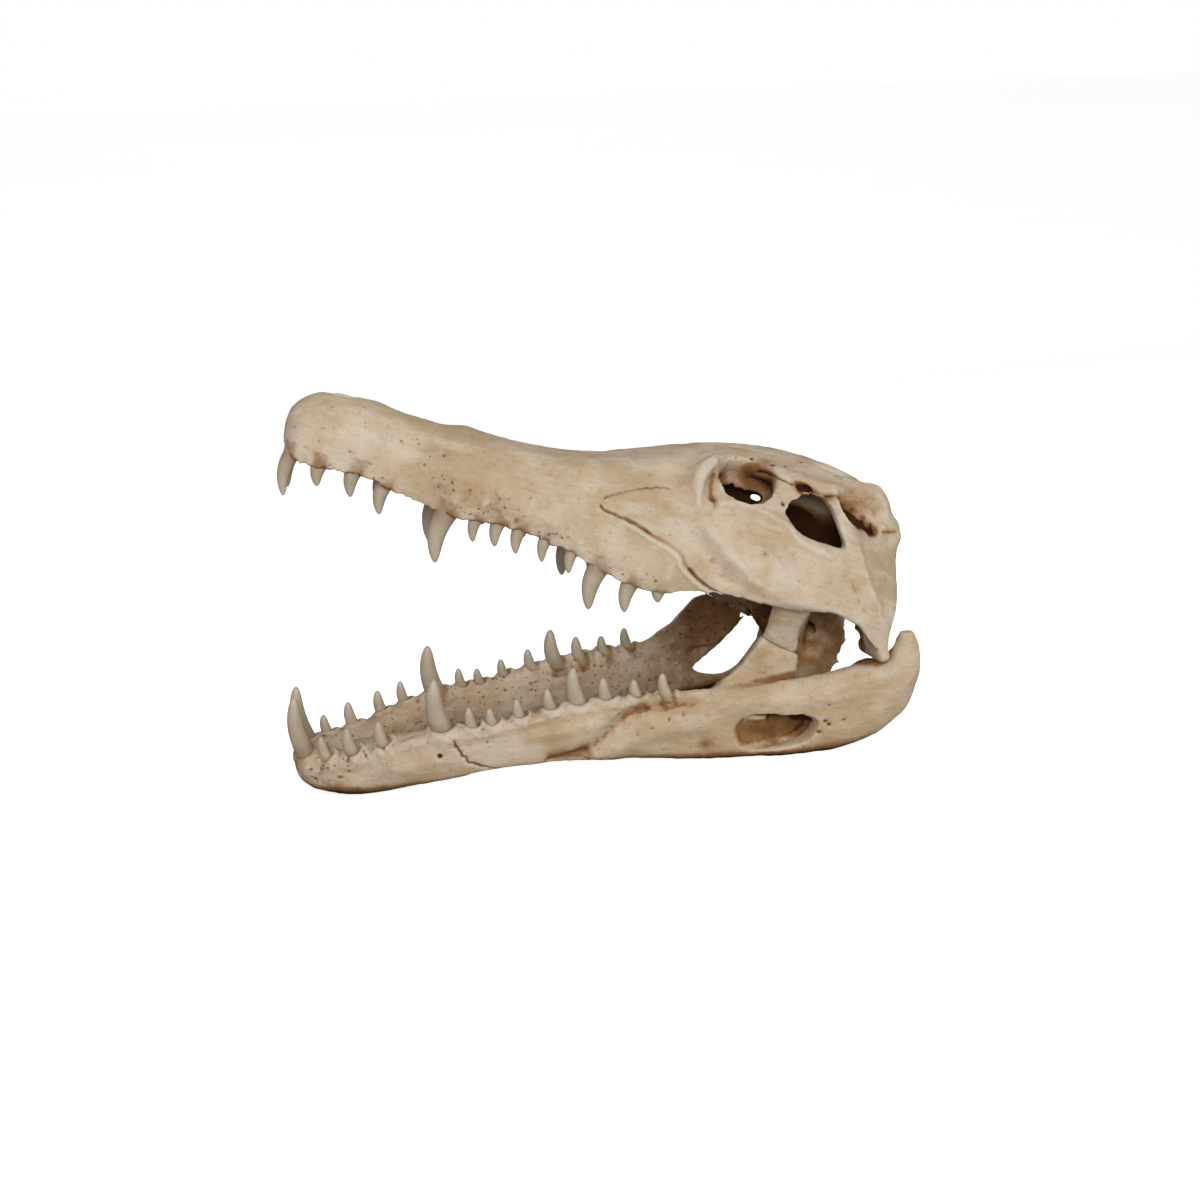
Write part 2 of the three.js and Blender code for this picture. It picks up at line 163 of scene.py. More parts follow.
def sink_teeth(bm, bow):
    teeth = []
    for tip in [vertex for vertex in bm.verts if is_tip(vertex)]:
        ring = ring_about(tip)
        centre = sum((vertex.co for vertex in ring), Vector()) / CONE_SIDES
        width = 2 * max(vertex.co.x - centre.x for vertex in ring) / RING_SHRINK
        centre.x -= bow * math.sin(math.pi * RING_SHARE)
        root = tip.co + (centre - tip.co) / (1 - RING_SHARE)
        teeth.append(SimpleNamespace(root=root, tip=tip.co.copy(), width=width, bow=bow))
        socket = root.lerp(tip.co, SOCKET_DEPTH_SHARE)
        for vertex in ring + [tip]:
            vertex.co = socket
    bmesh.ops.remove_doubles(bm, verts=bm.verts, dist=SAME_POINT)
    return teeth


# %% [markdown]
# Voxel remeshing turns the copy into even quads, whatever triangles the solid had. Its size sets the
# finest shape that the clay can hold. One level of subdivision follows after the rubbing.

# %% Even clay from a solid
def evaluated_copy(mesh, kind, **settings):
    holder = new_object("holder", mesh)
    modifier = holder.modifiers.new(kind, kind)
    for name, value in settings.items():
        setattr(modifier, name, value)
    graph = bpy.context.evaluated_depsgraph_get()
    made = bpy.data.meshes.new_from_object(holder.evaluated_get(graph))
    bpy.data.objects.remove(holder)
    bpy.data.meshes.remove(mesh)
    return made


def clay_of(node, place, bow, voxel):
    bm = bmesh.new()
    bm.from_mesh(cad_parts[node].data)
    bmesh.ops.transform(bm, matrix=place.inverted(), verts=bm.verts)
    bmesh.ops.remove_doubles(bm, verts=bm.verts, dist=SAME_POINT)
    teeth = sink_teeth(bm, bow)
    mesh = mesh_from(bm, node)
    mesh = evaluated_copy(mesh, "REMESH", mode="VOXEL", voxel_size=voxel)
    print(node, "teeth:", len(teeth), "clay vertices:", len(mesh.vertices))
    return mesh, teeth


# %% [markdown]
# NumPy moves all vertices at once, far quicker than a loop. These helpers read and write a mesh's
# points, and average each vertex with its neighbours.

# %% Points, normals and neighbours
def read(items, name, width, count):
    flat = np.empty(count * width, np.float32)
    items.foreach_get(name, flat)
    return flat.reshape(count, width).astype(float)


def points_of(mesh):
    return read(mesh.vertices, "co", 3, len(mesh.vertices))


def normals_of(mesh):
    return read(mesh.vertex_normals, "vector", 3, len(mesh.vertices))


def set_points(mesh, points):
    mesh.vertices.foreach_set("co", points.astype(np.float32).ravel())
    mesh.update()


def edges_of(mesh):
    flat = np.empty(len(mesh.edges) * 2, np.int32)
    mesh.edges.foreach_get("vertices", flat)
    return flat.reshape(-1, 2)


def averaged(values, edges):
    count = len(values)
    first, second = edges[:, 0], edges[:, 1]
    degree = np.bincount(first, minlength=count) + np.bincount(second, minlength=count)
    mean = np.empty_like(values)
    for axis in range(values.shape[1]):
        column = values[:, axis]
        total = np.bincount(first, column[second], count) + np.bincount(second, column[first], count)
        mean[:, axis] = total / np.maximum(degree, 1)
    return mean


def smoothed(values, edges, rounds, share=0.5):
    for _ in range(rounds):
        values = values + share * (averaged(values, edges) - values)
    return values


def ramp(values, low, high):
    share = np.clip((values - low) / (high - low), 0, 1)
    return share * share * (3 - 2 * share)


# %% [markdown]
# The solid's flat facets are rubbed away. Plain smoothing would melt the thin rims, so it is weighted by
# how well the normals of a patch agree: a broad face is rubbed hard, and an edge stays. Smoothing also
# shrinks a round form, so the broad part of what it took away is put back.

# %% Rub the facets away
LIGHT_ROUNDS = 5
LIGHT_SHRINK = 0.6
LIGHT_SWELL = 0.62
PATCH_ROUNDS = 10
HARD_ROUNDS = 70


def rub(mesh):
    edges = edges_of(mesh)
    points = points_of(mesh)
    for _ in range(LIGHT_ROUNDS):
        points = points + LIGHT_SHRINK * (averaged(points, edges) - points)
        points = points - LIGHT_SWELL * (averaged(points, edges) - points)
    set_points(mesh, points)
    patch = smoothed(normals_of(mesh), edges, PATCH_ROUNDS)
    even = ramp(np.linalg.norm(patch, axis=1), 0.86, 0.955)[:, None]
    even = smoothed(even, edges, 4)
    soft = smoothed(points, edges, HARD_ROUNDS, 0.5 * even)
    for _ in range(2):
        soft = soft + smoothed(points - soft, edges, HARD_ROUNDS, 0.5 * even)
    set_points(mesh, soft)


# %% [markdown]
# Dirt and varnish settle where the sky doesn't reach, and the material also darkens those places as
# painted shade.
# A fan of rays from each vertex finds out how open it is, and the material reads that as an attribute
# later.

# %% How open each vertex is
RAY_COUNT = 14
RAY_START = 0.6
RAY_REACH = 70


def openness(mesh):
    spin = np.random.default_rng(5)
    rays = spin.normal(size=(RAY_COUNT, 3))
    rays = [Vector(ray).normalized() for ray in rays]
    tree = BVHTree.FromPolygons(
        [vertex.co for vertex in mesh.vertices],
        [polygon.vertices for polygon in mesh.polygons],
    )
    open_share = np.zeros((len(mesh.vertices), 1))
    for vertex in mesh.vertices:
        normal = vertex.normal
        start = vertex.co + normal * RAY_START
        free = 0.0
        whole = 0.0
        for ray in rays:
            slant = ray.dot(normal)
            direction = ray if slant > 0 else -ray
            whole += abs(slant)
            if tree.ray_cast(start, direction, RAY_REACH)[0] is None:
                free += abs(slant)
        open_share[vertex.index] = free / whole
    return smoothed(open_share, edges_of(mesh), 3)


def store(mesh, name, values):
    attribute = mesh.attributes.get(name) or mesh.attributes.new(name, "FLOAT", "POINT")
    attribute.data.foreach_set("value", values.astype(np.float32).ravel())


# %% [markdown]
# A stroke follows a smooth line drawn in a flat view of the bone: from the side, from above or from
# behind. Only the surface that faces the view is shaped, and both sides of the skull alike. The view
# from behind takes in only the rear face, because walls further forward face that way too.

# %% Strokes on the clay
REAR_FACE = -36
NO_LINE = 6.0


def outwards(clay):
    return clay.normals[:, 1] * np.sign(clay.points[:, 1])


def upwards(clay):
    return clay.normals[:, 2]


def backwards(clay):
    return clay.normals[:, 0] * (clay.points[:, 0] > REAR_FACE)


def side_band(inner, outer):
    """The side view of what lies this far from the midline."""
    return SimpleNamespace(across=(0, 2), facing=outwards, within=(inner, outer))


SIDE = side_band(0, 200)
TOP = SimpleNamespace(across=(0, 1), facing=upwards, within=(0, 200))
REAR = SimpleNamespace(across=(1, 2), facing=backwards, within=(0, 200))


def flattened(clay, view):
    seen = clay.points.copy()
    seen[:, 1] = np.abs(seen[:, 1])
    return seen[:, view.across]


def through(corners, steps=8):
    """A smooth line through the corners, as many short straight pieces."""
    corners = np.array(corners, float)
    padded = np.vstack([2 * corners[0] - corners[1], corners, 2 * corners[-1] - corners[-2]])
    line = []
    for before, start, end, after in zip(padded, padded[1:], padded[2:], padded[3:]):
        for step in range(steps):
            t = step / steps
            bend = (2 * start + (end - before) * t + (2 * before - 5 * start + 4 * end - after) * t ** 2
                    + (3 * start - before - 3 * end + after) * t ** 3)
            line.append(bend / 2)
    line.append(corners[-1])
    return np.array(line)


def along(line, flat, reach):
    """Of each point near the line: its distance, how far along it is, and which side it is on."""
    low = line.min(0) - reach
    high = line.max(0) + reach
    near = np.where(np.all((flat >= low) & (flat <= high), axis=1))[0]
    best = np.full(len(near), 1e9)
    share = np.zeros(len(near))
    sign = np.ones(len(near))
    lengths = np.r_[0, np.cumsum(np.linalg.norm(np.diff(line, axis=0), axis=1))]
    for index, (start, end) in enumerate(zip(line, line[1:])):
        piece = end - start
        offset = flat[near] - start
        t = np.clip(offset @ piece / max(piece @ piece, 1e-9), 0, 1)
        gap = offset - t[:, None] * piece
        distance = np.hypot(gap[:, 0], gap[:, 1])
        closer = distance < best
        best[closer] = distance[closer]
        share[closer] = (lengths[index] + t[closer] * np.linalg.norm(piece)) / lengths[-1]
        sign[closer] = np.sign(piece[0] * offset[closer, 1] - piece[1] * offset[closer, 0])
    return near, best, share, sign


def faced(clay, view, near):
    """How squarely each point faces the view, and whether it lies in the view's range."""
    facing = ramp(view.facing(clay)[near], 0.05, 0.4)
    aside = np.abs(clay.points[near, 1])
    return facing * (aside >= view.within[0]) * (aside <= view.within[1])


def push(clay, near, lift, wash):
    """Moves points along their normals and adds to their wash, which darkens the colour: stains, dirt
    and painted shade. Below 0 it lightens, partly as painted highlight.
    """
    clay.points[near] += lift[:, None] * clay.normals[near]
    clay.wash[near] += wash


def stroke(clay, view, corners, width, height, taper=0.18, wash=0.0, step=0.0):
    """A ridge (height above 0) or a groove (below 0) with soft flanks. `step` lifts the left side."""
    reach = 3 * width if step == 0 else 4 * width
    line = through(corners)
    near, distance, share, sign = along(line, flattened(clay, view), reach)
    ends = ramp(share, 0, taper) * ramp(1 - share, 0, taper) if taper else np.ones(len(share))
    strength = faced(clay, view, near) * ends
    lift = height * np.exp(-((distance / width) ** 2))
    step_fade = np.exp(-distance / (1.6 * width))
    lift = lift + step * ramp(sign * distance, -0.4 * width, 0.4 * width) * step_fade
    push(clay, near, lift * strength, wash * strength * np.exp(-((distance / (1.6 * width)) ** 2)))
    return near, distance, strength


def seam(clay, view, corners, depth, wiggle=0.9, step=0.0, ink=1.0, seed=3):
    """A thin grown-together joint between two bones: a wavering hairline in a shallow groove."""
    line = through(corners, 10)
    waver = np.random.default_rng(seed).normal(size=line.shape)
    line = line + wiggle * smooth_row(waver)
    near, distance, strength = stroke(clay, view, line, 1.5, -depth, 0.12, 0.16 * ink, step)
    drawn = distance + NO_LINE * (1 - np.clip(strength * 1.6, 0, 1)) + 0.7 * (1 - ink)
    clay.line[near] = np.minimum(clay.line[near], drawn)


def smooth_row(values):
    kernel = np.array([1, 3, 5, 3, 1]) / 13
    return np.stack([np.convolve(column, kernel, "same") for column in values.T], axis=1)


def is_inside(line, flat):
    """Even-odd test of flat points against a closed line."""
    inside = np.zeros(len(flat), bool)
    for start, end in zip(line, line[1:]):
        crosses = (start[1] > flat[:, 1]) != (end[1] > flat[:, 1])
        slope = (end[0] - start[0]) / (end[1] - start[1] if end[1] != start[1] else 1e-9)
        inside ^= crosses & (flat[:, 0] < start[0] + (flat[:, 1] - start[1]) * slope)
    return inside


def press(clay, view, outline, depth, soft, wash):
    """Sinks the area inside a closed outline, with a soft edge."""
    line = through(list(outline) + [outline[0]], 4)
    flat = flattened(clay, view)
    near, distance, _, _ = along(line, flat, 2 * soft)
    signed = np.where(is_inside(line, flat[near]), distance, -distance)
    strength = ramp(signed, -0.5 * soft, soft) * faced(clay, view, near)
    push(clay, near, -depth * strength, wash * strength)


def mound(clay, view, centre, radii, height, tilt=0.0, wash=0.0):
    """A soft oval swelling (height above 0) or hollow (below 0)."""
    offset = flattened(clay, view) - np.array(centre, float)
    turn = np.array([[math.cos(tilt), -math.sin(tilt)], [math.sin(tilt), math.cos(tilt)]])
    scaled = (offset @ turn) / np.array(radii, float)
    reach = (scaled ** 2).sum(1)
    near = np.where(reach < 4)[0]
    strength = faced(clay, view, near) * np.exp(-1.5 * reach[near])
    push(clay, near, height * strength, wash * strength)


# %% [markdown]
# Nothing on a bone is quite even. Noise from a lattice of random numbers gives soft dimples of any size:
# broad waves before the strokes, and fine grit after them.

# %% Noise
LATTICE = 48


def noise(points, size, seed):
    grid = np.random.default_rng(seed).random((LATTICE,) * 3) * 2 - 1
    place = points / size + 1000.0
    cell = np.floor(place).astype(int)
    share = place - cell
    share = share * share * (3 - 2 * share)
    total = np.zeros(len(points))
    for corner in np.ndindex(2, 2, 2):
        weight = np.prod(np.where(np.array(corner) == 1, share, 1 - share), axis=1)
        x, y, z = ((cell + corner) % LATTICE).T
        total += weight * grid[x, y, z]
    return total


def roughen(clay, amounts):
    for number, (size, amount) in enumerate(amounts):
        lift = amount * noise(clay.points, size, 20 + number)
        clay.points += lift[:, None] * clay.normals


# %% [markdown]
# A stain darkens everything inside an egg; some stains are the bone's own, others are painted shade,
# such as in the depth of an eye socket. A collar raises the bone's edge around a tooth. A seat presses
# two bones that stand on each other back to the plane where they meet, which the rubbing had rounded
# off.

# %% Stains, collars and seats
def stain(clay, centre, radii, wash, porous=0.0):
    offset = clay.points.copy()
    offset[:, 1] = np.abs(offset[:, 1])
    reach = (((offset - np.array(centre, float)) / np.array(radii, float)) ** 2).sum(1)
    strength = 1 - ramp(reach, 0.45, 1.3)
    clay.wash += wash * strength
    clay.porous += porous * strength


def collar(clay, tooth, height):
    axis = np.array((tooth.tip - tooth.root).normalized())
    offset = clay.points - np.array(tooth.root)
    rise = offset @ axis
    radial = np.linalg.norm(offset - rise[:, None] * axis, axis=1) / (tooth.width / 2)
    near = np.where((radial < 2.4) & (rise > -6) & (rise < 22))[0]
    ring = np.exp(-(((radial[near] - 1.25) / 0.5) ** 2)) * ramp(rise[near], -6, 4)
    clay.points[near] += (height * ring)[:, None] * (0.6 * axis + 0.5 * clay.normals[near])
    # A dark ring at the tooth's foot: part dirt, part painted shade where tooth and bone meet.
    clay.wash[near] += 0.6 * np.exp(-(((radial[near] - 0.95) / 0.32) ** 2))
    clay.porous[near] += 0.6 * np.exp(-(((radial[near] - 1.5) / 0.7) ** 2))


SEAT_MIDDLE = Vector((136, 0, 86))
SEAT_NORMAL = Vector((12, 0, 18)).normalized()
SEAT_REACH = 7
SEAT_RADIUS = 26
SEAT_INNER = 50
SEAT_OUTER = 80
SEAT_HALF_GAP = 0.15


def seat(clay, side):
    """Presses the surface near the strut's seat flat. `side` is 1 above the plane and -1 below it."""
    to_clay = clay.place.inverted() @ JAW_PLACE
    middle = np.array(to_clay @ SEAT_MIDDLE)
    normal = np.array((to_clay.to_3x3() @ SEAT_NORMAL).normalized())
    offset = clay.points - middle
    height = offset @ normal
    level = offset - height[:, None] * normal
    level[:, 1] = 0
    aside = np.abs(clay.points[:, 1])
    close = (np.linalg.norm(level, axis=1) < SEAT_RADIUS) & (aside > SEAT_INNER) & (aside < SEAT_OUTER)
    close &= (side * height > -2) & (side * height < SEAT_REACH)
    strength = close * ramp(-side * (clay.normals @ normal), 0.35, 0.7)
    clay.points += (strength * (side * SEAT_HALF_GAP - height))[:, None] * normal


# %% [markdown]
# One function takes a bone from solid to clay, and another finishes it: the attributes are written, the
# mesh is thinned where it is flat, and the bone goes back to its place in metres.

# %% Start and finish a bone
MOST_TRIANGLES = 196000
FINE_ROUNDS = 8
DEEP_ROUNDS = 60


def start_bone(node, place, bow, voxel):
    mesh, teeth = clay_of(node, place, bow, voxel)
    rub(mesh)
    store(mesh, "openness", openness(mesh))
    mesh = evaluated_copy(mesh, "SUBSURF", levels=1, render_levels=1)
    clay = SimpleNamespace(mesh=mesh, teeth=teeth, place=place, node=node, edges=edges_of(mesh))
    clay.points = points_of(mesh)
    clay.normals = smoothed(normals_of(mesh), clay.edges, 2)
    clay.wash = np.zeros(len(clay.points))
    clay.porous = np.zeros(len(clay.points))
    clay.line = np.full(len(clay.points), NO_LINE)
    print(node, "fine vertices:", len(clay.points))
    return clay


def renew(clay):
    set_points(clay.mesh, clay.points)
    clay.normals = smoothed(normals_of(clay.mesh), clay.edges, 2)


def hollowness(clay, rounds):
    """Above 0 in hollows, below 0 on ridges."""
    soft = smoothed(clay.points, clay.edges, rounds)
    return ((soft - clay.points) * clay.normals).sum(1)


def finish_bone(clay, material):
    renew(clay)
    low, high = [np.array(corner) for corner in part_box(clay.node)]
    store(clay.mesh, "hollow", hollowness(clay, FINE_ROUNDS))
    store(clay.mesh, "deep_hollow", hollowness(clay, DEEP_ROUNDS))
    store(clay.mesh, "wash", clay.wash)
    store(clay.mesh, "porous", clay.porous)
    store(clay.mesh, "line", clay.line)
    mesh = clay.mesh
    mesh.transform(clay.place)
    points = points_of(mesh)
    set_points(mesh, np.clip(points, low, high))
    triangles = 2 * len(mesh.polygons)
    if triangles > MOST_TRIANGLES:
        mesh = evaluated_copy(mesh, "DECIMATE", ratio=MOST_TRIANGLES / triangles)
    mesh.polygons.foreach_set("use_smooth", [True] * len(mesh.polygons))
    bone = new_object(clay.node + "_bone", mesh)
    mesh.materials.clear()
    mesh.materials.append(material)
    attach(bone, "root")
    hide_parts(clay.node)
    print(bone.name, "triangles:", sum(len(polygon.vertices) - 2 for polygon in mesh.polygons))
    return bone


# %% [markdown]
# Materials are made of shader nodes. Each of these helpers adds one node and links it: `spread` maps a
# range of values to another, and `mixed` blends two colours.

# %% Helpers for node trees
def add_node(tree, kind, settings=None, **inputs):
    made = tree.nodes.new(kind)
    for name, value in (settings or {}).items():
        setattr(made, name, value)
    for name, value in inputs.items():
        numbered = name[0] == "i" and name[1:].isdigit()
        socket = made.inputs[int(name[1:]) if numbered else name.replace("_", " ")]
        if isinstance(value, bpy.types.NodeSocket):
            tree.links.new(value, socket)
        else:
            socket.default_value = value
    return made


def calculate(tree, operation, first, second=0.0, clamp=False):
    settings = {"operation": operation, "use_clamp": clamp}
    return add_node(tree, "ShaderNodeMath", settings, i0=first, i1=second).outputs[0]


def spread(tree, value, low, high, to_low=0.0, to_high=1.0):
    settings = {"interpolation_type": "SMOOTHSTEP"}
    made = add_node(
        tree, "ShaderNodeMapRange", settings, i0=value, i1=low, i2=high, i3=to_low, i4=to_high,
    )
    return made.outputs[0]


def mixed(tree, share, first, second):
    made = add_node(tree, "ShaderNodeMix", {"data_type": "RGBA"}, i0=share, i6=first, i7=second)
    return made.outputs[2]


def noise_node(tree, position, scale, detail=3.0, roughness=0.55):
    made = add_node(
        tree, "ShaderNodeTexNoise", Vector=position, Scale=scale, Detail=detail, Roughness=roughness,
    )
    return made.outputs["Fac"]


def painted(tree, name):
    return add_node(tree, "ShaderNodeAttribute", {"attribute_name": name}).outputs["Fac"]


def new_group(name, inputs, outputs):
    tree = bpy.data.node_groups.new(name, "ShaderNodeTree")
    for label, kind, value in inputs:
        socket = tree.interface.new_socket(label, in_out="INPUT", socket_type=kind)
        socket.default_value = value
    for label, kind in outputs:
        tree.interface.new_socket(label, in_out="OUTPUT", socket_type=kind)
    return tree, tree.nodes.new("NodeGroupInput").outputs, tree.nodes.new("NodeGroupOutput").inputs


# %% [markdown]
# Old bone is cream where it has been handled and brown where dirt stays. The colour is built in layers:
# cream and tan patches, pale streaks, ochre stains and brown flecks, then brown and near-black in two
# steps wherever the attributes say that the surface is hollow, hidden from the sky or stained: part
# dirt, part painted shade. Then come pores and seams.
# It is a node group, because the cranium and the jaw share it.

# %% The colour and relief of old bone
PALE = (0.62, 0.57, 0.485, 1)
OCHRE = (0.5, 0.335, 0.185, 1)
FLECK = (0.25, 0.15, 0.075, 1)
# The next two colours are the brown of dirt and painted shade, and the near-black of painted shade deep
# in hollows and openings.
WASH_AND_SHADE = (0.27, 0.135, 0.052, 1)
SHADE_DARK = (0.04, 0.013, 0.003, 1)
SEAM_INK = (0.065, 0.034, 0.016, 1)
BROAD_SCALE = 15.0
MIDDLE_SCALE = 62.0
MOTTLE_SCALE = 210.0
STREAK_SCALE = 85.0
GRAIN_SCALE = 380.0
STREAK_STRETCH = (0.16, 1.0, 1.0)
PORE_SCALE = 300.0
PORE_WARP_SCALE = 420.0
PORE_WARP = 0.0035


def layered(tree, colour, layers):
    """Lays each colour over the last, where its value runs from low to high."""
    for value, low, high, most, over in layers:
        colour = mixed(tree, spread(tree, value, low, high, 0.0, most), colour, over)
    return colour


# Adds the wash to the darkening of hollows and of places the rays can't leave: dirt and painted shade
# together.
def dirt_and_shade_amount(tree, noises):
    uneven = calculate(tree, "MULTIPLY", calculate(tree, "SUBTRACT", noises.mottle, 0.5), 0.4)
    cavity = spread(tree, calculate(tree, "ADD", painted(tree, "hollow"), uneven), 0.03, 0.34, 0.0, 0.5)
    deep = spread(tree, painted(tree, "deep_hollow"), 0.2, 2.4, 0.0, 0.4)
    hidden_dirt_and_shade = spread(tree, painted(tree, "openness"), 0.7, 0.2, 0.0, 0.9)
    dirt_and_shade = painted(tree, "wash")
    for part in (deep, cavity, hidden_dirt_and_shade):
        dirt_and_shade = calculate(tree, "ADD", dirt_and_shade, part)
    patchy = spread(tree, noises.middle, 0.32, 0.66, -0.35, 0.3)
    patchy = calculate(tree, "MULTIPLY", patchy, spread(tree, dirt_and_shade, 0.5, 1.3, 1.0, 0.3))
    return calculate(tree, "MULTIPLY", dirt_and_shade, calculate(tree, "ADD", patchy, 1.0))


def pore_mask(tree, position, noises):
    swirl = add_node(tree, "ShaderNodeTexNoise", Vector=position, Scale=PORE_WARP_SCALE, Detail=2.0)
    scaling = {"operation": "SCALE"}
    swirl = swirl.outputs["Color"]
    warp = add_node(tree, "ShaderNodeVectorMath", scaling, Vector=swirl, Scale=PORE_WARP).outputs[0]
    bent = add_node(tree, "ShaderNodeVectorMath", {"operation": "ADD"}, i0=position, i1=warp).outputs[0]
    cells = add_node(tree, "ShaderNodeTexVoronoi", Vector=bent, Scale=PORE_SCALE, Randomness=1.0)
    lot = add_node(tree, "ShaderNodeSeparateColor", i0=cells.outputs["Color"]).outputs[0]
    likely = spread(tree, noises.middle, 0.5, 0.72, 0.0, 0.35)
    likely = calculate(tree, "ADD", painted(tree, "porous"), likely, True)
    size = calculate(tree, "MULTIPLY", spread(tree, lot, 0.55, 1.0, 0.0, 0.5), likely)
    gap = calculate(tree, "SUBTRACT", cells.outputs["Distance"], size)
    return spread(tree, gap, 0.04, -0.16)


def old_bone_group():
    tree, given, out = new_group(
        "old_bone",
        [
            ("Cream", "NodeSocketColor", (0.6, 0.52, 0.41, 1)),
            ("Tan", "NodeSocketColor", (0.5, 0.37, 0.24, 1)),
            ("Pitch", "NodeSocketFloat", 0.0),
        ],
        [("Color", "NodeSocketColor"), ("Roughness", "NodeSocketFloat"), ("Height", "NodeSocketFloat")],
    )
    position = add_node(tree, "ShaderNodeTexCoord").outputs["Object"]
    about_y = {"rotation_type": "Y_AXIS"}
    level = add_node(
        tree, "ShaderNodeVectorRotate", about_y, Vector=position, Angle=given["Pitch"],
    ).outputs[0]
    stretched = add_node(tree, "ShaderNodeMapping", Vector=level, Scale=STREAK_STRETCH).outputs[0]
    noises = SimpleNamespace(
        broad=noise_node(tree, position, BROAD_SCALE, 4.0),
        middle=noise_node(tree, position, MIDDLE_SCALE, 5.0, 0.65),
        mottle=noise_node(tree, position, MOTTLE_SCALE, 5.0, 0.7),
        streak=noise_node(tree, stretched, STREAK_SCALE, 4.0, 0.6),
        grain=noise_node(tree, stretched, GRAIN_SCALE, 4.0, 0.65),
    )
    dirt_and_shade = dirt_and_shade_amount(tree, noises)
    colour = layered(tree, given["Cream"], [
        (noises.broad, 0.4, 0.62, 1.0, given["Tan"]),
        (noises.streak, 0.48, 0.68, 0.5, PALE),
        (noises.middle, 0.5, 0.68, 0.45, OCHRE),
        (noises.mottle, 0.54, 0.72, 0.4, FLECK),
        (noises.grain, 0.56, 0.74, 0.4, PALE),
        (noises.grain, 0.42, 0.28, 0.3, FLECK),
        (painted(tree, "hollow"), -0.05, -0.3, 0.6, PALE),
        # The brown and near-black layers: dirt and painted shade.
        (dirt_and_shade, 0.0, 1.0, 1.0, WASH_AND_SHADE),
        (dirt_and_shade, 0.85, 2.0, 1.0, SHADE_DARK),
    ])

    pore = pore_mask(tree, position, noises)
    waver = calculate(tree, "MULTIPLY", calculate(tree, "SUBTRACT", noises.mottle, 0.5), 1.2)
    line = spread(tree, calculate(tree, "ADD", painted(tree, "line"), waver), 0.65, 0.05, 0.0, 0.8)
    colour = mixed(tree, line, colour, SEAM_INK)
    colour = mixed(tree, calculate(tree, "MULTIPLY", pore, 0.55), colour, SEAM_INK)
    tree.links.new(colour, out["Color"])

    rough = spread(tree, noises.mottle, 0.3, 0.7, 0.62, 0.82)
    tree.links.new(rough, out["Roughness"])
    height = calculate(tree, "MULTIPLY", noises.mottle, 0.9)
    height = calculate(tree, "ADD", height, calculate(tree, "MULTIPLY", noises.grain, 0.55))
    height = calculate(tree, "SUBTRACT", height, calculate(tree, "MAXIMUM", pore, line))
    tree.links.new(height, out["Height"])
    return tree


OLD_BONE = old_bone_group()


# %% [markdown]
# Each bone's material wires the group into a matt surface. The cranium's is turned by the gape, so that
# its streaks run along the snout.

# %% Bone materials
BUMP_DISTANCE = 0.0009
MATT = 0.12
CRANIUM_CREAM = (0.58, 0.48, 0.36, 1)
CRANIUM_TAN = (0.47, 0.35, 0.23, 1)
JAW_CREAM = (0.6, 0.485, 0.355, 1)
JAW_TAN = (0.49, 0.355, 0.225, 1)


def bone_material(name, cream, tan, pitch, bump):
    material, tree, shader = new_material(name)
    group = add_node(
        tree, "ShaderNodeGroup", {"node_tree": OLD_BONE}, Cream=cream, Tan=tan, Pitch=pitch,
    )
    tree.links.new(group.outputs["Color"], shader.inputs["Base Color"])
    tree.links.new(group.outputs["Roughness"], shader.inputs["Roughness"])
    relief = add_node(
        tree, "ShaderNodeBump", Strength=bump, Distance=BUMP_DISTANCE, Height=group.outputs["Height"],
    )
    tree.links.new(relief.outputs["Normal"], shader.inputs["Normal"])
    shader.inputs["Specular IOR Level"].default_value = MATT
    return material


CRANIUM_BONE = bone_material("cranium_bone", CRANIUM_CREAM, CRANIUM_TAN, -GAPE, 0.9)
JAW_BONE = bone_material("jaw_bone", JAW_CREAM, JAW_TAN, 0.0, 0.95)
print("bone materials:", CRANIUM_BONE.name, JAW_BONE.name)

# %% [markdown]
# A crocodile's tooth is a blunt cone, bowed a little, with faint flutes. Each starts as a bmesh cone
# with many rings, and the long lower ones are stouter. An attribute runs from 0 at the root to 1 at the
# tip, so that the material can be brown at the gum line and pale at the worn tip.

# %% The shape of a tooth
TOOTH_SIDES = 24
TOOTH_RINGS = 13
TIP_SHARE = 0.998
RING_CROWDING = 1.7
UPPER_TAPER = 0.52
LOWER_TAPER = 0.44
BLUNTNESS = 6
FLUTES = 6
FLUTE_DEPTH = 0.012
FLATNESS = 0.86
BOW_LENGTH = 20
STOUT_FROM = 24
STOUT_RANGE = 16
EXTRA_STOUTNESS = 0.12


def stoutness_of(length, is_upper):
    share = min(max((length - STOUT_FROM) / STOUT_RANGE, 0), 1)
    return 1 if is_upper else 1 + EXTRA_STOUTNESS * share


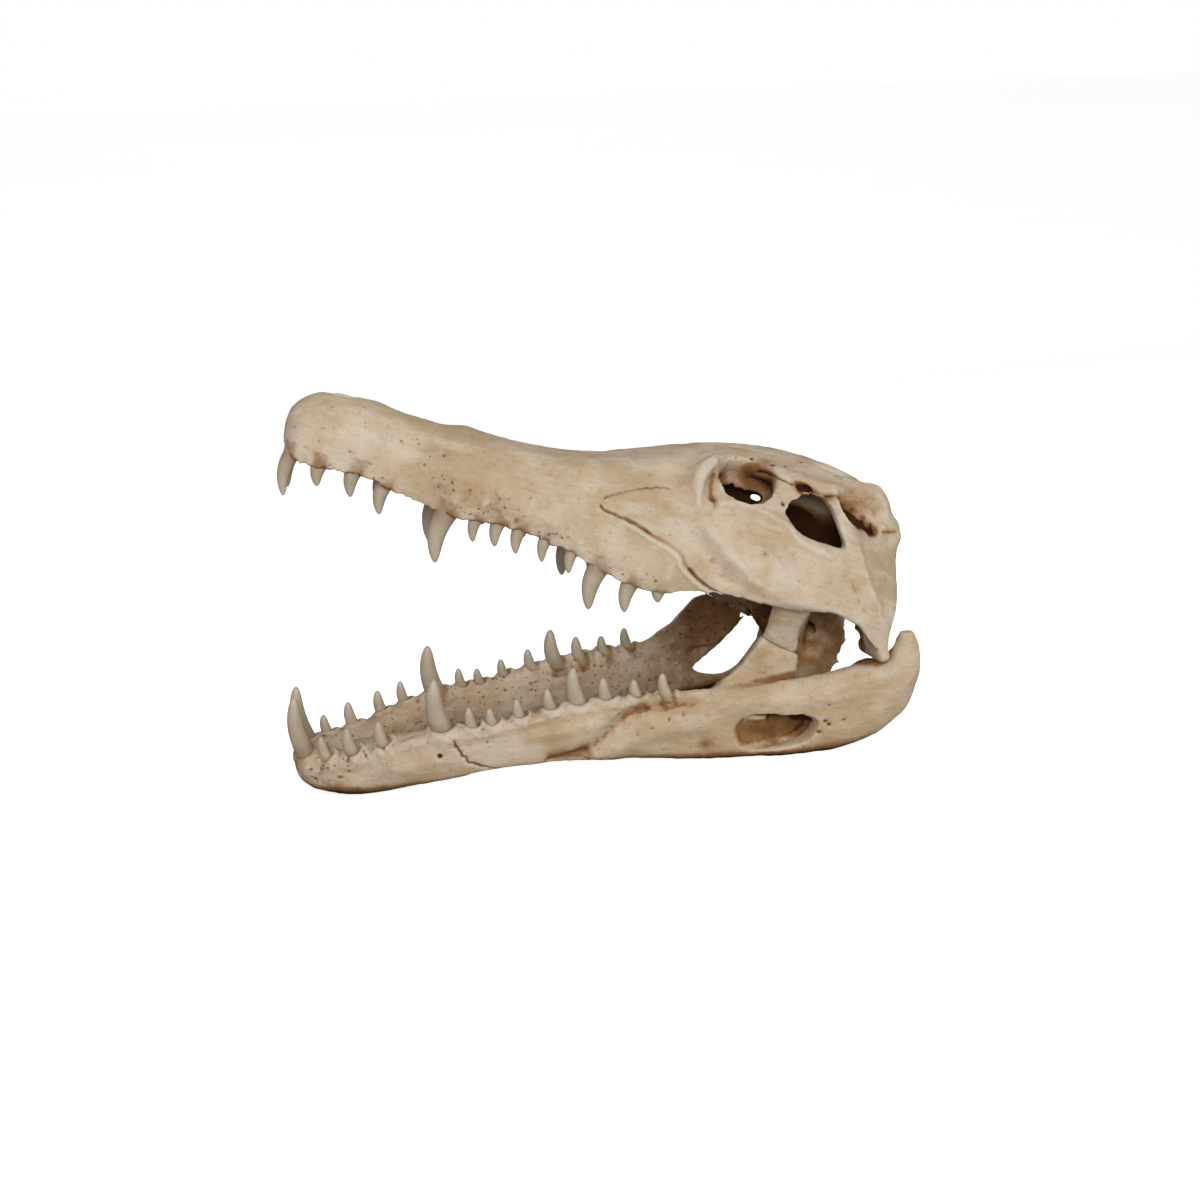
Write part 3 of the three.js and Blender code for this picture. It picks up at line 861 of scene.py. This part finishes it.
def tooth_mesh(tooth, shift):
    bm = bmesh.new()
    share_layer = bm.verts.layers.float.new("share")
    bmesh.ops.create_cone(bm, cap_ends=True, segments=TOOTH_SIDES, radius1=1, radius2=0.5, depth=1)
    long_edges = [edge for edge in bm.edges if abs(edge.verts[0].co.z - edge.verts[1].co.z) > 0.5]
    bmesh.ops.subdivide_edges(bm, edges=long_edges, cuts=TOOTH_RINGS)
    lean = tooth.tip - tooth.root
    taper = UPPER_TAPER if lean.z < 0 else LOWER_TAPER
    stoutness = stoutness_of(lean.length, lean.z < 0)
    for vertex in bm.verts:
        height = min(max(vertex.co.z + 0.5, 0.0), 1.0)
        share = TIP_SHARE * (1 - (1 - height) ** RING_CROWDING)
        angle = math.atan2(vertex.co.y, vertex.co.x)
        flutes = 1 + FLUTE_DEPTH * math.cos(FLUTES * angle + shift) * (1 - share)
        profile = (1 - taper * share) * math.sqrt(1 - share ** BLUNTNESS)
        radius = stoutness * tooth.width / 2 * profile * flutes
        bow = tooth.bow * lean.length / BOW_LENGTH * math.sin(math.pi * share)
        offset = Vector((radius * math.cos(angle) + bow, FLATNESS * radius * math.sin(angle), 0))
        vertex.co = tooth.root + lean * share + offset
        vertex[share_layer] = share
    bmesh.ops.recalc_face_normals(bm, faces=bm.faces)
    return mesh_from(bm, "tooth")


# %% [markdown]
# A row joins all the teeth of one bone into one piece. A tooth that would stand out in front of the
# solids is moved back to their box.

# %% Rows of teeth and their material
TOOTH_PALE = (0.47, 0.395, 0.295, 1)
TOOTH_YELLOW = (0.4, 0.325, 0.225, 1)
TOOTH_STREAK = (0.3, 0.22, 0.14, 1)
TOOTH_TIP = (0.52, 0.465, 0.37, 1)
TOOTH_ROOT = (0.26, 0.165, 0.09, 1)


def tooth_row(name, teeth, place):
    bm = bmesh.new()
    for number, tooth in enumerate(teeth):
        single = tooth_mesh(tooth, 2.4 * number)
        single.transform(place)
        outside = max(0.0, cad_box[0][0] - min(vertex.co.x for vertex in single.vertices))
        single.transform(Matrix.Translation((outside, 0, 0)))
        bm.from_mesh(single)
        bpy.data.meshes.remove(single)
    mesh = mesh_from(bm, name)
    mesh.polygons.foreach_set("use_smooth", [True] * len(mesh.polygons))
    row = new_object(name, mesh)
    mesh.materials.append(TOOTH)
    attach(row, "root")
    print(name, "teeth:", len(teeth), "faces:", len(mesh.polygons))
    return row


def tooth_material():
    material, tree, shader = new_material("tooth")
    position = add_node(tree, "ShaderNodeTexCoord").outputs["Object"]
    patches = noise_node(tree, position, 60.0, 3.0)
    streaks = add_node(tree, "ShaderNodeMapping", Vector=position, Scale=(1.0, 1.0, 0.12)).outputs[0]
    streaks = noise_node(tree, streaks, 700.0, 3.0, 0.6)
    share = painted(tree, "share")
    colour = layered(tree, TOOTH_PALE, [
        (patches, 0.35, 0.65, 1.0, TOOTH_YELLOW),
        (streaks, 0.5, 0.75, 0.4, TOOTH_STREAK),
        (share, 0.5, 1.0, 0.5, TOOTH_TIP),
        (share, 0.4, 0.12, 0.6, TOOTH_ROOT),
    ])
    tree.links.new(colour, shader.inputs["Base Color"])
    tree.links.new(spread(tree, patches, 0.3, 0.7, 0.32, 0.48), shader.inputs["Roughness"])
    relief = add_node(tree, "ShaderNodeBump", Strength=0.4, Distance=0.0004, Height=streaks)
    tree.links.new(relief.outputs["Normal"], shader.inputs["Normal"])
    return material


TOOTH = tooth_material()

# %% [markdown]
# ## The cranium
# Places are in the bone's own frame, in millimetres: x runs back from the snout to the jaw hinge at 0,
# and z up from the tooth row. `CHEEK` and `CROWN` say how far from the midline the strokes of those two
# regions may reach.

# %% Clay for the cranium
UPPER_BOW = -2.0
CRANIUM_VOXEL = 2.2
CHEEK = side_band(28, 130)
CROWN = side_band(22, 90)

cranium = start_bone("cranium", CRANIUM_PLACE, UPPER_BOW, CRANIUM_VOXEL)

# %% [markdown]
# The snout's bone ends in a long pointed tongue that overlaps the cheek. Behind it the cheek plate has a
# slanting ridge from the brow down to the hinge. In front of the eye socket stands a crescent of bone.

# %% Cheek and brow
def shape_cheek(clay):
    # Ridge strokes lighten and hollow strokes darken the colour: part the bone's tone, part painted
    # highlight and painted shade.
    front_ridge = [(-294, 50), (-270, 60), (-242, 73), (-212, 86), (-189, 94)]
    stroke(clay, side_band(20, 90), front_ridge, 6, 1.8, wash=-0.1)
    mound(clay, CHEEK, (-218, 67), (26, 8), -2.2, -0.35, wash=0.12)
    upper_edge = [(-250, 43), (-246, 48), (-241, 52), (-228, 60), (-216, 65), (-205, 69), (-194, 71)]
    seam(clay, CHEEK, upper_edge, 1.0, wiggle=0.4, step=0.8, ink=0.75, seed=7)
    lower_edge = [
        (-251, 44), (-245, 39), (-232, 38), (-218, 36), (-204, 32), (-189, 29), (-180, 25), (-173, 18),
        (-162, 12), (-150, 8), (-138, 5),
    ]
    seam(clay, CHEEK, lower_edge[:5], 1.2, wiggle=0.4, step=-0.9, ink=0.95, seed=8)
    seam(clay, CHEEK, lower_edge[2:9], 0.8, wiggle=0.2, step=-1.8, ink=0.35, seed=8)
    seam(clay, CHEEK, lower_edge[7:], 1.5, wiggle=0.2, step=-1.2, ink=1.0, seed=8)
    lip = [(x - 2.5, z - 2.5) for x, z in lower_edge[2:]]
    stroke(clay, CHEEK, lip, 2.2, 1.2, 0.1, wash=-0.25)
    trough = [(-216, 52), (-195, 54), (-186, 48), (-174, 40), (-160, 31), (-146, 22), (-126, 17)]
    stroke(clay, CHEEK, trough, 7, -3.2, wash=-0.05)
    diagonal = [
        (-178, 66), (-170, 57), (-160, 47), (-146, 39), (-132, 31), (-115, 24), (-96, 21), (-54, 28),
    ]
    stroke(clay, CHEEK, diagonal, 6.5, 3.8, wash=-0.2)
    mound(clay, CHEEK, (-118, 48), (28, 12), -4.0, -0.1, wash=0.18)
    under_eye = [(-175, 64), (-154, 74), (-131, 76), (-111, 73), (-96, 64), (-74, 62), (-58, 66)]
    stroke(clay, CHEEK, under_eye, 3.5, 2.2, wash=-0.2)
    hind_ridge = [(-57, 84), (-47, 70), (-37, 54), (-20, 35), (-2, 14)]
    stroke(clay, CHEEK, hind_ridge, 5, 3.0, wash=-0.2)
    stroke(clay, CHEEK, [(-60, 66), (-50, 52), (-37, 36), (-24, 24)], 3, -1.0, wash=0.05)
    lower_rim = [(-131, 10), (-105, 14), (-66, 22), (-39, 22), (-16, 11)]
    stroke(clay, CHEEK, lower_rim, 4, 1.2, wash=-0.1)


def shape_brow(clay):
    crescent = [(-162, 104), (-171, 98), (-178, 88), (-179, 78), (-177, 67), (-173, 58)]
    stroke(clay, CROWN, crescent, 4.6, 3.2, wash=-0.35)
    recess = [(-163, 95), (-167, 88), (-168, 79), (-167, 70)]
    stroke(clay, CROWN, recess, 3.4, -2.8, wash=0.35)
    mound(clay, CROWN, (-165, 70), (3.6, 4.4), -1.8, wash=0.6)
    mound(clay, CROWN, (-190, 80), (12, 12), -1.2, wash=0.3)


# %% [markdown]
# The flat roof has a raised edge, with the ear's dark hollow under it. The rear face has hollows for the
# neck muscles and the round knob of the neck joint.

# %% Roof, ear and rear face
def shape_roof(clay):
    stroke(clay, CROWN, [(-128, 109), (-96, 110), (-71, 111), (-48, 115)], 3.5, 2.4, wash=-0.1)
    front_furrow = [(-128, 104), (-116, 105), (-103, 104)]
    seam(clay, CROWN, front_furrow, 1.6, wiggle=0.3, ink=0.8, seed=23)
    seam(clay, CROWN, [(-88, 103), (-74, 106), (-62, 110)], 1.8, wiggle=0.2, ink=0.9, seed=24)
    # The slit above the cheek opening and the groove behind it are painted dark: painted shade in
    # shallow hollows.
    stroke(clay, CROWN, [(-90, 101), (-76, 103), (-64, 108)], 2.4, -1.8, wash=0.5)
    mound(clay, CROWN, (-93, 102), (9, 4.2), -3.0, 0.1, wash=2.4)
    stroke(clay, TOP, [(-84, 26), (-70, 36), (-56, 45)], 2.0, -1.4, wash=0.35)
    for place in [(-146, 27), (-141, 29), (-133, 26), (-137, 31), (-119, 38), (-108, 37), (-92, 28)]:
        mound(clay, TOP, place, (2.0, 1.7), -1.5, wash=1.0)
    mound(clay, CROWN, (-114, 87), (2.2, 2.0), -1.4, wash=1.0)
    stroke(clay, TOP, [(-100, 26), (-76, 36), (-52, 43), (-20, 46)], 4, 2.0)
    mound(clay, TOP, (-27, 46), (26, 17), 10.0)
    mound(clay, TOP, (-44, 22), (26, 20), 2.5)
    seam(clay, TOP, [(-170, 6), (-150, 7), (-128, 14), (-110, 26)], 0.6, wiggle=0.8, ink=0.4, seed=21)
    midline = [(-420, 3), (-380, 2), (-330, 2), (-280, 3), (-230, 4), (-190, 4)]
    seam(clay, TOP, midline, 0.6, wiggle=0.5, ink=0.4, seed=22)
    mound(clay, TOP, (-150, 12), (22, 10), -1.6, wash=0.1)


def shape_ear(clay):
    outline = [
        (-67, 113), (-66, 104), (-58, 95), (-45, 91), (-31, 89), (-23, 97), (-22, 108), (-31, 116),
        (-46, 117), (-60, 116),
    ]
    # The hollow is pressed in and darkened, part as painted shade.
    press(clay, CROWN, outline, 6.0, 7.0, wash=0.3)
    crest = [(-69, 112), (-68, 101), (-61, 92), (-50, 87)]
    stroke(clay, CROWN, crest, 2.8, 1.8, wash=-0.3)
    dark_edge = [(-64, 110), (-63, 102), (-57, 96), (-48, 93), (-36, 89)]
    stroke(clay, CROWN, dark_edge, 2.8, -2.6, wash=0.5)
    for number, place in enumerate([(-60, 99), (-56, 95), (-50, 94), (-43, 91), (-38, 92), (-34, 88)]):
        mound(clay, CROWN, place, (3.4, 2.8), -3.0, 0.4 * number, wash=1.1)
    mound(clay, CROWN, (-30, 90), (5, 4), -4.5, 0.3, wash=1.8)
    mound(clay, CROWN, (-40, 100), (14, 4), 1.0, -0.2, wash=-0.2)
    mound(clay, CROWN, (-12, 99), (9, 6), 2.4, 0.0, wash=-0.2)
    stroke(clay, CROWN, [(-24, 91), (-12, 94), (-3, 98)], 2.2, -1.4, wash=0.25)
    # These stains brown the ear's hollow: porous bone, and painted shade under the roof's edge.
    stain(clay, (-46, 60, 93), (20, 22, 8), 0.3, 0.9)
    stain(clay, (-55, 60, 98), (9, 20, 8), 0.6, 0.3)
    stain(clay, (-44, 58, 110), (22, 20, 11), 0.4, 0.2)
    stain(clay, (-16, 56, 88), (16, 16, 12), 0.1, 0.6)


def shape_back(clay):
    stroke(clay, REAR, [(-6, 104), (14, 105), (34, 104), (52, 100)], 4, 2.4, taper=0)
    mound(clay, REAR, (20, 91), (14, 8), -3.6, -0.1, wash=0.25)
    mound(clay, REAR, (46, 82), (15, 8), -2.8, -0.3, wash=0.2)
    stroke(clay, REAR, [(12, 82), (30, 76), (52, 68), (72, 56)], 4.5, 2.4, wash=-0.1)
    mound(clay, REAR, (40, 54), (20, 9), -2.4, -0.4, wash=0.2)
    seam(clay, REAR, [(9, 87), (22, 84), (38, 85), (54, 90)], 0.6, wiggle=0.7, ink=0.5, seed=31)
    mound(clay, REAR, (0, 62), (11, 9), 4.5, wash=-0.1)
    for place in [(14, 65), (19, 58), (27, 66)]:
        mound(clay, REAR, place, (2.3, 2.0), -1.8, wash=1.2)


# %% [markdown]
# Each tooth's root swells the bone above it, and its socket has a raised and pitted edge. Small pits for
# nerves and vessels run along the snout.

# %% Snout
def shape_snout(clay):
    for tooth in clay.teeth:
        height = tooth.root.z + 7
        swell = 0.09 * tooth.width
        mound(clay, side_band(5, 90), (tooth.root.x, height), (0.55 * tooth.width, 16), swell)
        collar(clay, tooth, 0.9)
    crossing = [(-355, 61), (-351, 56), (-357, 50), (-366, 44), (-372, 36)]
    seam(clay, side_band(8, 90), crossing, 0.6, wiggle=0.5, ink=0.45, seed=9)
    mound(clay, TOP, (-356, 8), (12, 12), 1.8)
    mound(clay, side_band(10, 90), (-330, 48), (40, 9), -1.6, 0.05)
    mound(clay, side_band(10, 90), (-450, 40), (22, 9), -1.4, 0.0, wash=0.1)
    for number, (x, z) in enumerate([
        (-402, 39), (-391, 44), (-386, 27), (-381, 28), (-365, 23), (-359, 23), (-345, 22), (-435, 21),
        (-458, 21), (-300, 30), (-430, 44),
    ]):
        long = 1.6 + 0.9 * math.sin(3 * number)
        mound(clay, side_band(5, 90), (x, z), (long, 1.3), -0.7, 0.5 * number, wash=0.2)
    stain(clay, (-385, 40, 40), (30, 16, 8), 0.25, 0.75)
    stain(clay, (-345, 48, 20), (40, 16, 9), 0.3, 0.8)
    stain(clay, (-300, 50, 12), (36, 16, 8), 0.25, 0.6)
    stain(clay, (-470, 25, 22), (26, 22, 14), 0.1, 0.35)


# %% [markdown]
# The palate, the inner cheeks, the wings, the undersides and the depths of the openings are darkened:
# part dirt, part painted shade. `shape_cranium`
# sets down the order of work: broad waves, strokes, dirt and painted shade, and last the fine grit.

# %% Shade and finish the cranium
CRANIUM_WAVES = [(34, 1.1), (15, 0.5)]
GRIT = [(6, 0.26), (2.6, 0.12)]
CRUMB_SIZE = 5


def crumble(clay, height, seed):
    porous = np.clip(clay.porous, 0, 1)
    lift = height * porous * noise(clay.points, CRUMB_SIZE, seed)
    clay.points += lift[:, None] * clay.normals
    roughen(clay, GRIT)


def shade_cranium(clay):
    x = clay.points[:, 0]
    aside = np.abs(clay.points[:, 1])
    # Inner faces, undersides and the palate are darkened: part dirt and pores, part painted shade.
    inwards = ramp(-outwards(clay), 0.1, 0.6) * ramp(x, -195, -175) * ramp(aside, 22, 34)
    below = ramp(-clay.normals[:, 2], 0.15, 0.7)
    mouth = below * ramp(-x, 180, 200) * (1 - ramp(aside, 40, 75))
    clay.wash += 0.55 * inwards + 0.45 * mouth + 0.3 * below * ramp(x, -190, -170)
    clay.porous += 0.5 * inwards + 0.5 * mouth
    # Faces that look up are darkened a little: painted shade.
    clay.wash += 0.1 * ramp(clay.normals[:, 2], 0.6, 0.95)
    # These stains paint shade into the eye socket, the cheek opening, the slit above it and under the
    # skull, with some pores; one lightens the upper part of the cheek opening as painted light.
    stain(clay, (-138, 40, 90), (27, 26, 18), 0.5)
    stain(clay, (-120, 28, 100), (18, 22, 16), 0.9)
    stain(clay, (-113, 42, 97), (9, 14, 11), 0.5)
    stain(clay, (-130, 2, 74), (42, 22, 20), 2.4)
    stain(clay, (-136, 56, 74), (24, 10, 8), 1.0)
    stain(clay, (-80, 26, 70), (24, 14, 20), 1.8)
    stain(clay, (-92, 52, 72), (34, 24, 20), 0.5)
    stain(clay, (-58, 24, 66), (42, 20, 24), 1.5)
    stain(clay, (-64, 26, 96), (28, 16, 13), -0.35)
    stain(clay, (-96, 50, 104), (9, 16, 4.5), 1.2)
    stain(clay, (-64, 25, 108), (20, 12, 14), 1.0)
    stain(clay, (-25, 44, -10), (30, 34, 44), 0.75, 0.2)
    stain(clay, (-10, 70, 6), (20, 14, 18), 0.7, 0.4)


def shape_cranium(clay):
    roughen(clay, CRANIUM_WAVES)
    shape_cheek(clay)
    shape_brow(clay)
    shape_roof(clay)
    shape_ear(clay)
    shape_back(clay)
    shape_snout(clay)
    seat(clay, 1)
    renew(clay)
    shade_cranium(clay)
    crumble(clay, 0.7, 31)


shape_cranium(cranium)
bone_pieces = [finish_bone(cranium, CRANIUM_BONE)]
tooth_pieces = [tooth_row("upper_teeth", cranium.teeth, CRANIUM_PLACE)]

# %% [markdown]
# ## The lower jaw
# Both halves take the same strokes. Here x is 0 near the middle of the jaw, and z is the height above
# the floor. The left half has a pocket where the right one has a hole, so its edge is shaped apart.

# %% Shape of a jaw half
LOWER_BOW = -1.5
JAW_VOXEL = 1.9
JAW_WAVES = [(34, 1.0), (15, 0.5)]
OUTER = side_band(5, 130)
WINDOW_OUTLINE = [
    (86, 20), (86, 31), (96, 39), (110, 39), (128, 37), (142, 36), (150, 31), (150, 24), (144, 16),
    (134, 12), (120, 10), (104, 10), (91, 13),
]


def shape_jaw(clay):
    roughen(clay, JAW_WAVES)
    groove = [
        (76, 53), (50, 51), (29, 52), (9, 51), (-4, 44), (-16, 33), (-29, 23), (-43, 17), (-60, 14),
    ]
    # The grooves are darkened and the ridges lightened: part the bone's tone, part painted shade and
    # painted highlight.
    stroke(clay, OUTER, groove, 6.5, -4.6, wash=0.32)
    stroke(clay, OUTER, [(-70, 15), (-46, 16), (-26, 20)], 7, -4.0, wash=0.7)
    above = [(-90, 41), (-52, 42), (-20, 46), (-3, 55), (30, 60)]
    stroke(clay, OUTER, above, 7, 2.6, wash=-0.15)
    plate = [(-22, 14), (0, 24), (24, 32), (50, 36), (74, 40)]
    stroke(clay, OUTER, plate, 9, 3.0, wash=-0.2)
    over_window = [(72, 42), (93, 50), (121, 53), (161, 50), (195, 53)]
    stroke(clay, OUTER, over_window, 7, 2.6, wash=-0.2)
    heel_ridge = [(160, 12), (178, 22), (200, 34), (218, 52), (230, 74)]
    stroke(clay, OUTER, heel_ridge, 8, 1.8, wash=-0.1)
    mound(clay, OUTER, (62, 16), (9, 8), -2.8, wash=0.6)
    crack = [
        (-140, 49), (-136, 43), (-133, 35), (-129, 28), (-121, 22), (-109, 16), (-96, 10), (-86, 6),
    ]
    seam(clay, OUTER, crack, 1.6, wiggle=0.9, ink=1.0, seed=12)
    mound(clay, OUTER, (-149, 34), (2.4, 2.4), -3.5, wash=1.6)
    mound(clay, OUTER, (-175, 28), (22, 13), 2.4, wash=-0.1)
    mound(clay, OUTER, (-222, 14), (18, 12), 1.8)
    for number, (x, z) in enumerate([
        (-256, 52), (-233, 40), (-219, 33), (-242, 28), (-205, 36), (-248, 20), (-228, 22), (20, 36),
        (34, 42), (46, 44), (8, 32), (-190, 40), (160, 44), (172, 30),
    ]):
        mound(clay, OUTER, (x, z), (2.6, 1.5), -1.0, 0.5 * number, wash=0.45)
    rim = [(-246, 26), (-214, 35), (-174, 44), (-144, 51), (-110, 54), (-60, 58), (0, 64), (42, 71)]
    stroke(clay, TOP, rim, 3.2, 3.2, taper=0.08)
    for tooth in clay.teeth:
        height = tooth.root.z - 4
        swell = 0.08 * tooth.width
        mound(clay, OUTER, (tooth.root.x, height), (0.6 * tooth.width, 12), swell)
        collar(clay, tooth, 2.6)
    if clay.node == "mandible_left":
        shape_pocket(clay)
    seat(clay, -1)


def shape_pocket(clay):
    """The edge, the inside darkened as painted shade, and the bony spur of the left half's pocket."""
    press(clay, OUTER, WINDOW_OUTLINE, 2.6, 5.0, wash=0.95)
    # The pocket's top is darkened and its floor lightened: painted shade and painted light.
    stain(clay, (122, 80, 26), (30, 8, 12), 0.45, 0.2)
    stain(clay, (144, 82, 32), (12, 9, 8), 1.4)
    stain(clay, (126, 82, 38), (22, 8, 4), 1.2)
    stain(clay, (118, 84, 11), (30, 8, 5), -0.5)
    # The spur is lightened: part its own tone, part painted highlight.
    spur = [(92, 37), (100, 36), (108, 34), (116, 33)]
    stroke(clay, side_band(60, 130), spur, 3.0, 2.4, wash=-1.0)
    for x, z in [(157, 30), (152, 21), (160, 27)]:
        mound(clay, OUTER, (x, z), (2.4, 1.8), -1.6, wash=1.1)


# %% [markdown]
# The inner faces are browner and more porous than the outer ones, most of all towards the hinge; that
# brown is part dirt, part painted shade. The underside and the lower edge are darkened as painted shade,
# with a painted contact shadow along the bottom.

# %% Shade and finish both halves
def shade_jaw(clay):
    x = clay.points[:, 0]
    z = clay.points[:, 2]
    inwards = ramp(-outwards(clay), 0.05, 0.5) * ramp(np.abs(clay.points[:, 1]), 1, 4)
    chin = ramp(-x, 205, 240)
    # Painted shade on the underside, a painted contact shadow in the lowest few millimetres, and the
    # chin browner and darker towards the bottom.
    below = ramp(-clay.normals[:, 2], -0.1, 0.7) * (1 - ramp(z, 4, 20))
    clay.wash += inwards * (0.16 + 0.5 * ramp(x, 20, 110)) + 0.1 * chin + 1.2 * below
    painted_floor_shadow = 0.3 * (1 - ramp(z, 5, 14)) + 0.6 * (1 - ramp(z, 1, 6))
    clay.wash += painted_floor_shadow + 0.35 * chin * (1 - ramp(z, 10, 26))
    clay.porous += 0.75 * inwards + 0.7 * chin
    # These stains brown the inner faces by the hinge and above the pocket: part dirt and pores, part
    # painted shade.
    stain(clay, (205, 82, 76), (22, 20, 12), 0.9, 0.4)
    stain(clay, (226, 86, 84), (9, 10, 16), 0.5, 0.3)
    stain(clay, (100, 66, 74), (60, 8, 26), 0.3, 0.3)


for side in ("left", "right"):
    jaw = start_bone("mandible_" + side, JAW_PLACE, LOWER_BOW, JAW_VOXEL)
    shape_jaw(jaw)
    renew(jaw)
    shade_jaw(jaw)
    crumble(jaw, 0.8, 32)
    bone_pieces.append(finish_bone(jaw, JAW_BONE))
    tooth_pieces.append(tooth_row("lower_teeth_" + side, jaw.teeth, JAW_PLACE))

# %% [markdown]
# ## Floor and light
# The bones lie on a plain sheet that sweeps up behind them, so that no horizon shows. The camera sees it
# as nearly white, while it throws little light back on to the bone.

# %% Floor
FLOOR_REACH = 3.0
SWEEP_RADIUS = 1.5
SWEEP_ANGLE = math.radians(85)
SWEEP_STEPS = 16
FLOOR_WHITE = (0.9, 0.9, 0.9, 1)
FLOOR_BOUNCE = (0.35, 0.34, 0.33, 1)
FLOOR_GLOW = 0.74


def make_floor():
    bm = bmesh.new()
    ends = [bm.verts.new((side * 2 * FLOOR_REACH, -FLOOR_REACH, 0)) for side in (-1, 1)]
    edge = bm.edges.new(ends)
    forward = bmesh.ops.extrude_edge_only(bm, edges=[edge])["geom"]
    moved = [item for item in forward if isinstance(item, bmesh.types.BMVert)]
    bmesh.ops.translate(bm, verts=moved, vec=(0, 2 * FLOOR_REACH, 0))
    last = [item for item in forward if isinstance(item, bmesh.types.BMEdge)]
    bmesh.ops.spin(
        bm, geom=last + moved, cent=(0, FLOOR_REACH, SWEEP_RADIUS), axis=(1, 0, 0),
        angle=SWEEP_ANGLE, steps=SWEEP_STEPS,
    )
    bmesh.ops.recalc_face_normals(bm, faces=bm.faces)
    mesh = mesh_from(bm, "floor")
    floor = new_object("floor", mesh)
    material, tree, shader = new_material("floor")
    seen = add_node(tree, "ShaderNodeLightPath").outputs["Is Camera Ray"]
    colour = mixed(tree, seen, FLOOR_BOUNCE, FLOOR_WHITE)
    tree.links.new(colour, shader.inputs["Base Color"])
    shader.inputs["Roughness"].default_value = 1.0
    shader.inputs["Specular IOR Level"].default_value = 0.0
    shader.inputs["Emission Color"].default_value = (1, 1, 1, 1)
    glow = calculate(tree, "MULTIPLY", seen, FLOOR_GLOW)
    tree.links.new(glow, shader.inputs["Emission Strength"])
    mesh.materials.append(material)
    return floor


print("floor:", make_floor().name)

# %% [markdown]
# A large soft lamp stands to the front left, a weaker one to the front right, and a faint one behind.
# The room's own light is dim and even, and only the camera sees it as white.

# %% Lights
LAMPS = [
    ("key", (-0.3, -1.3, 0.8), 0.7, 12.8, (1.0, 0.98, 0.95)),
    ("fill", (0.9, -1.3, 0.5), 1.2, 8, (1.0, 0.97, 0.93)),
    ("back", (0.3, 1.0, 1.2), 1.0, 2.5, (1, 1, 1)),
]
LAMP_AIM = Vector((0, 0, 0.12))
ROOM_LIGHT = 0.3


def add_lamp(name, place, size, power, colour):
    data = bpy.data.lights.new(name, "AREA")
    data.size = size
    data.energy = power
    data.color = colour
    lamp = new_object(name, data)
    lamp.location = place
    lamp.rotation_euler = (LAMP_AIM - Vector(place)).to_track_quat("-Z", "Y").to_euler()


def light_room():
    world = bpy.data.worlds.new("world")
    bpy.context.scene.world = world
    world.use_nodes = True
    room = world.node_tree.nodes["Background"].inputs
    seen = add_node(world.node_tree, "ShaderNodeLightPath").outputs["Is Camera Ray"]
    extra = calculate(world.node_tree, "MULTIPLY", seen, 1 - ROOM_LIGHT)
    strength = calculate(world.node_tree, "ADD", extra, ROOM_LIGHT)
    room["Color"].default_value = (1, 1, 1, 1)
    world.node_tree.links.new(strength, room["Strength"])


for lamp_row in LAMPS:
    add_lamp(*lamp_row)
light_room()
bpy.context.scene.view_settings.view_transform = "Standard"
print("lamps:", [lamp_row[0] for lamp_row in LAMPS])
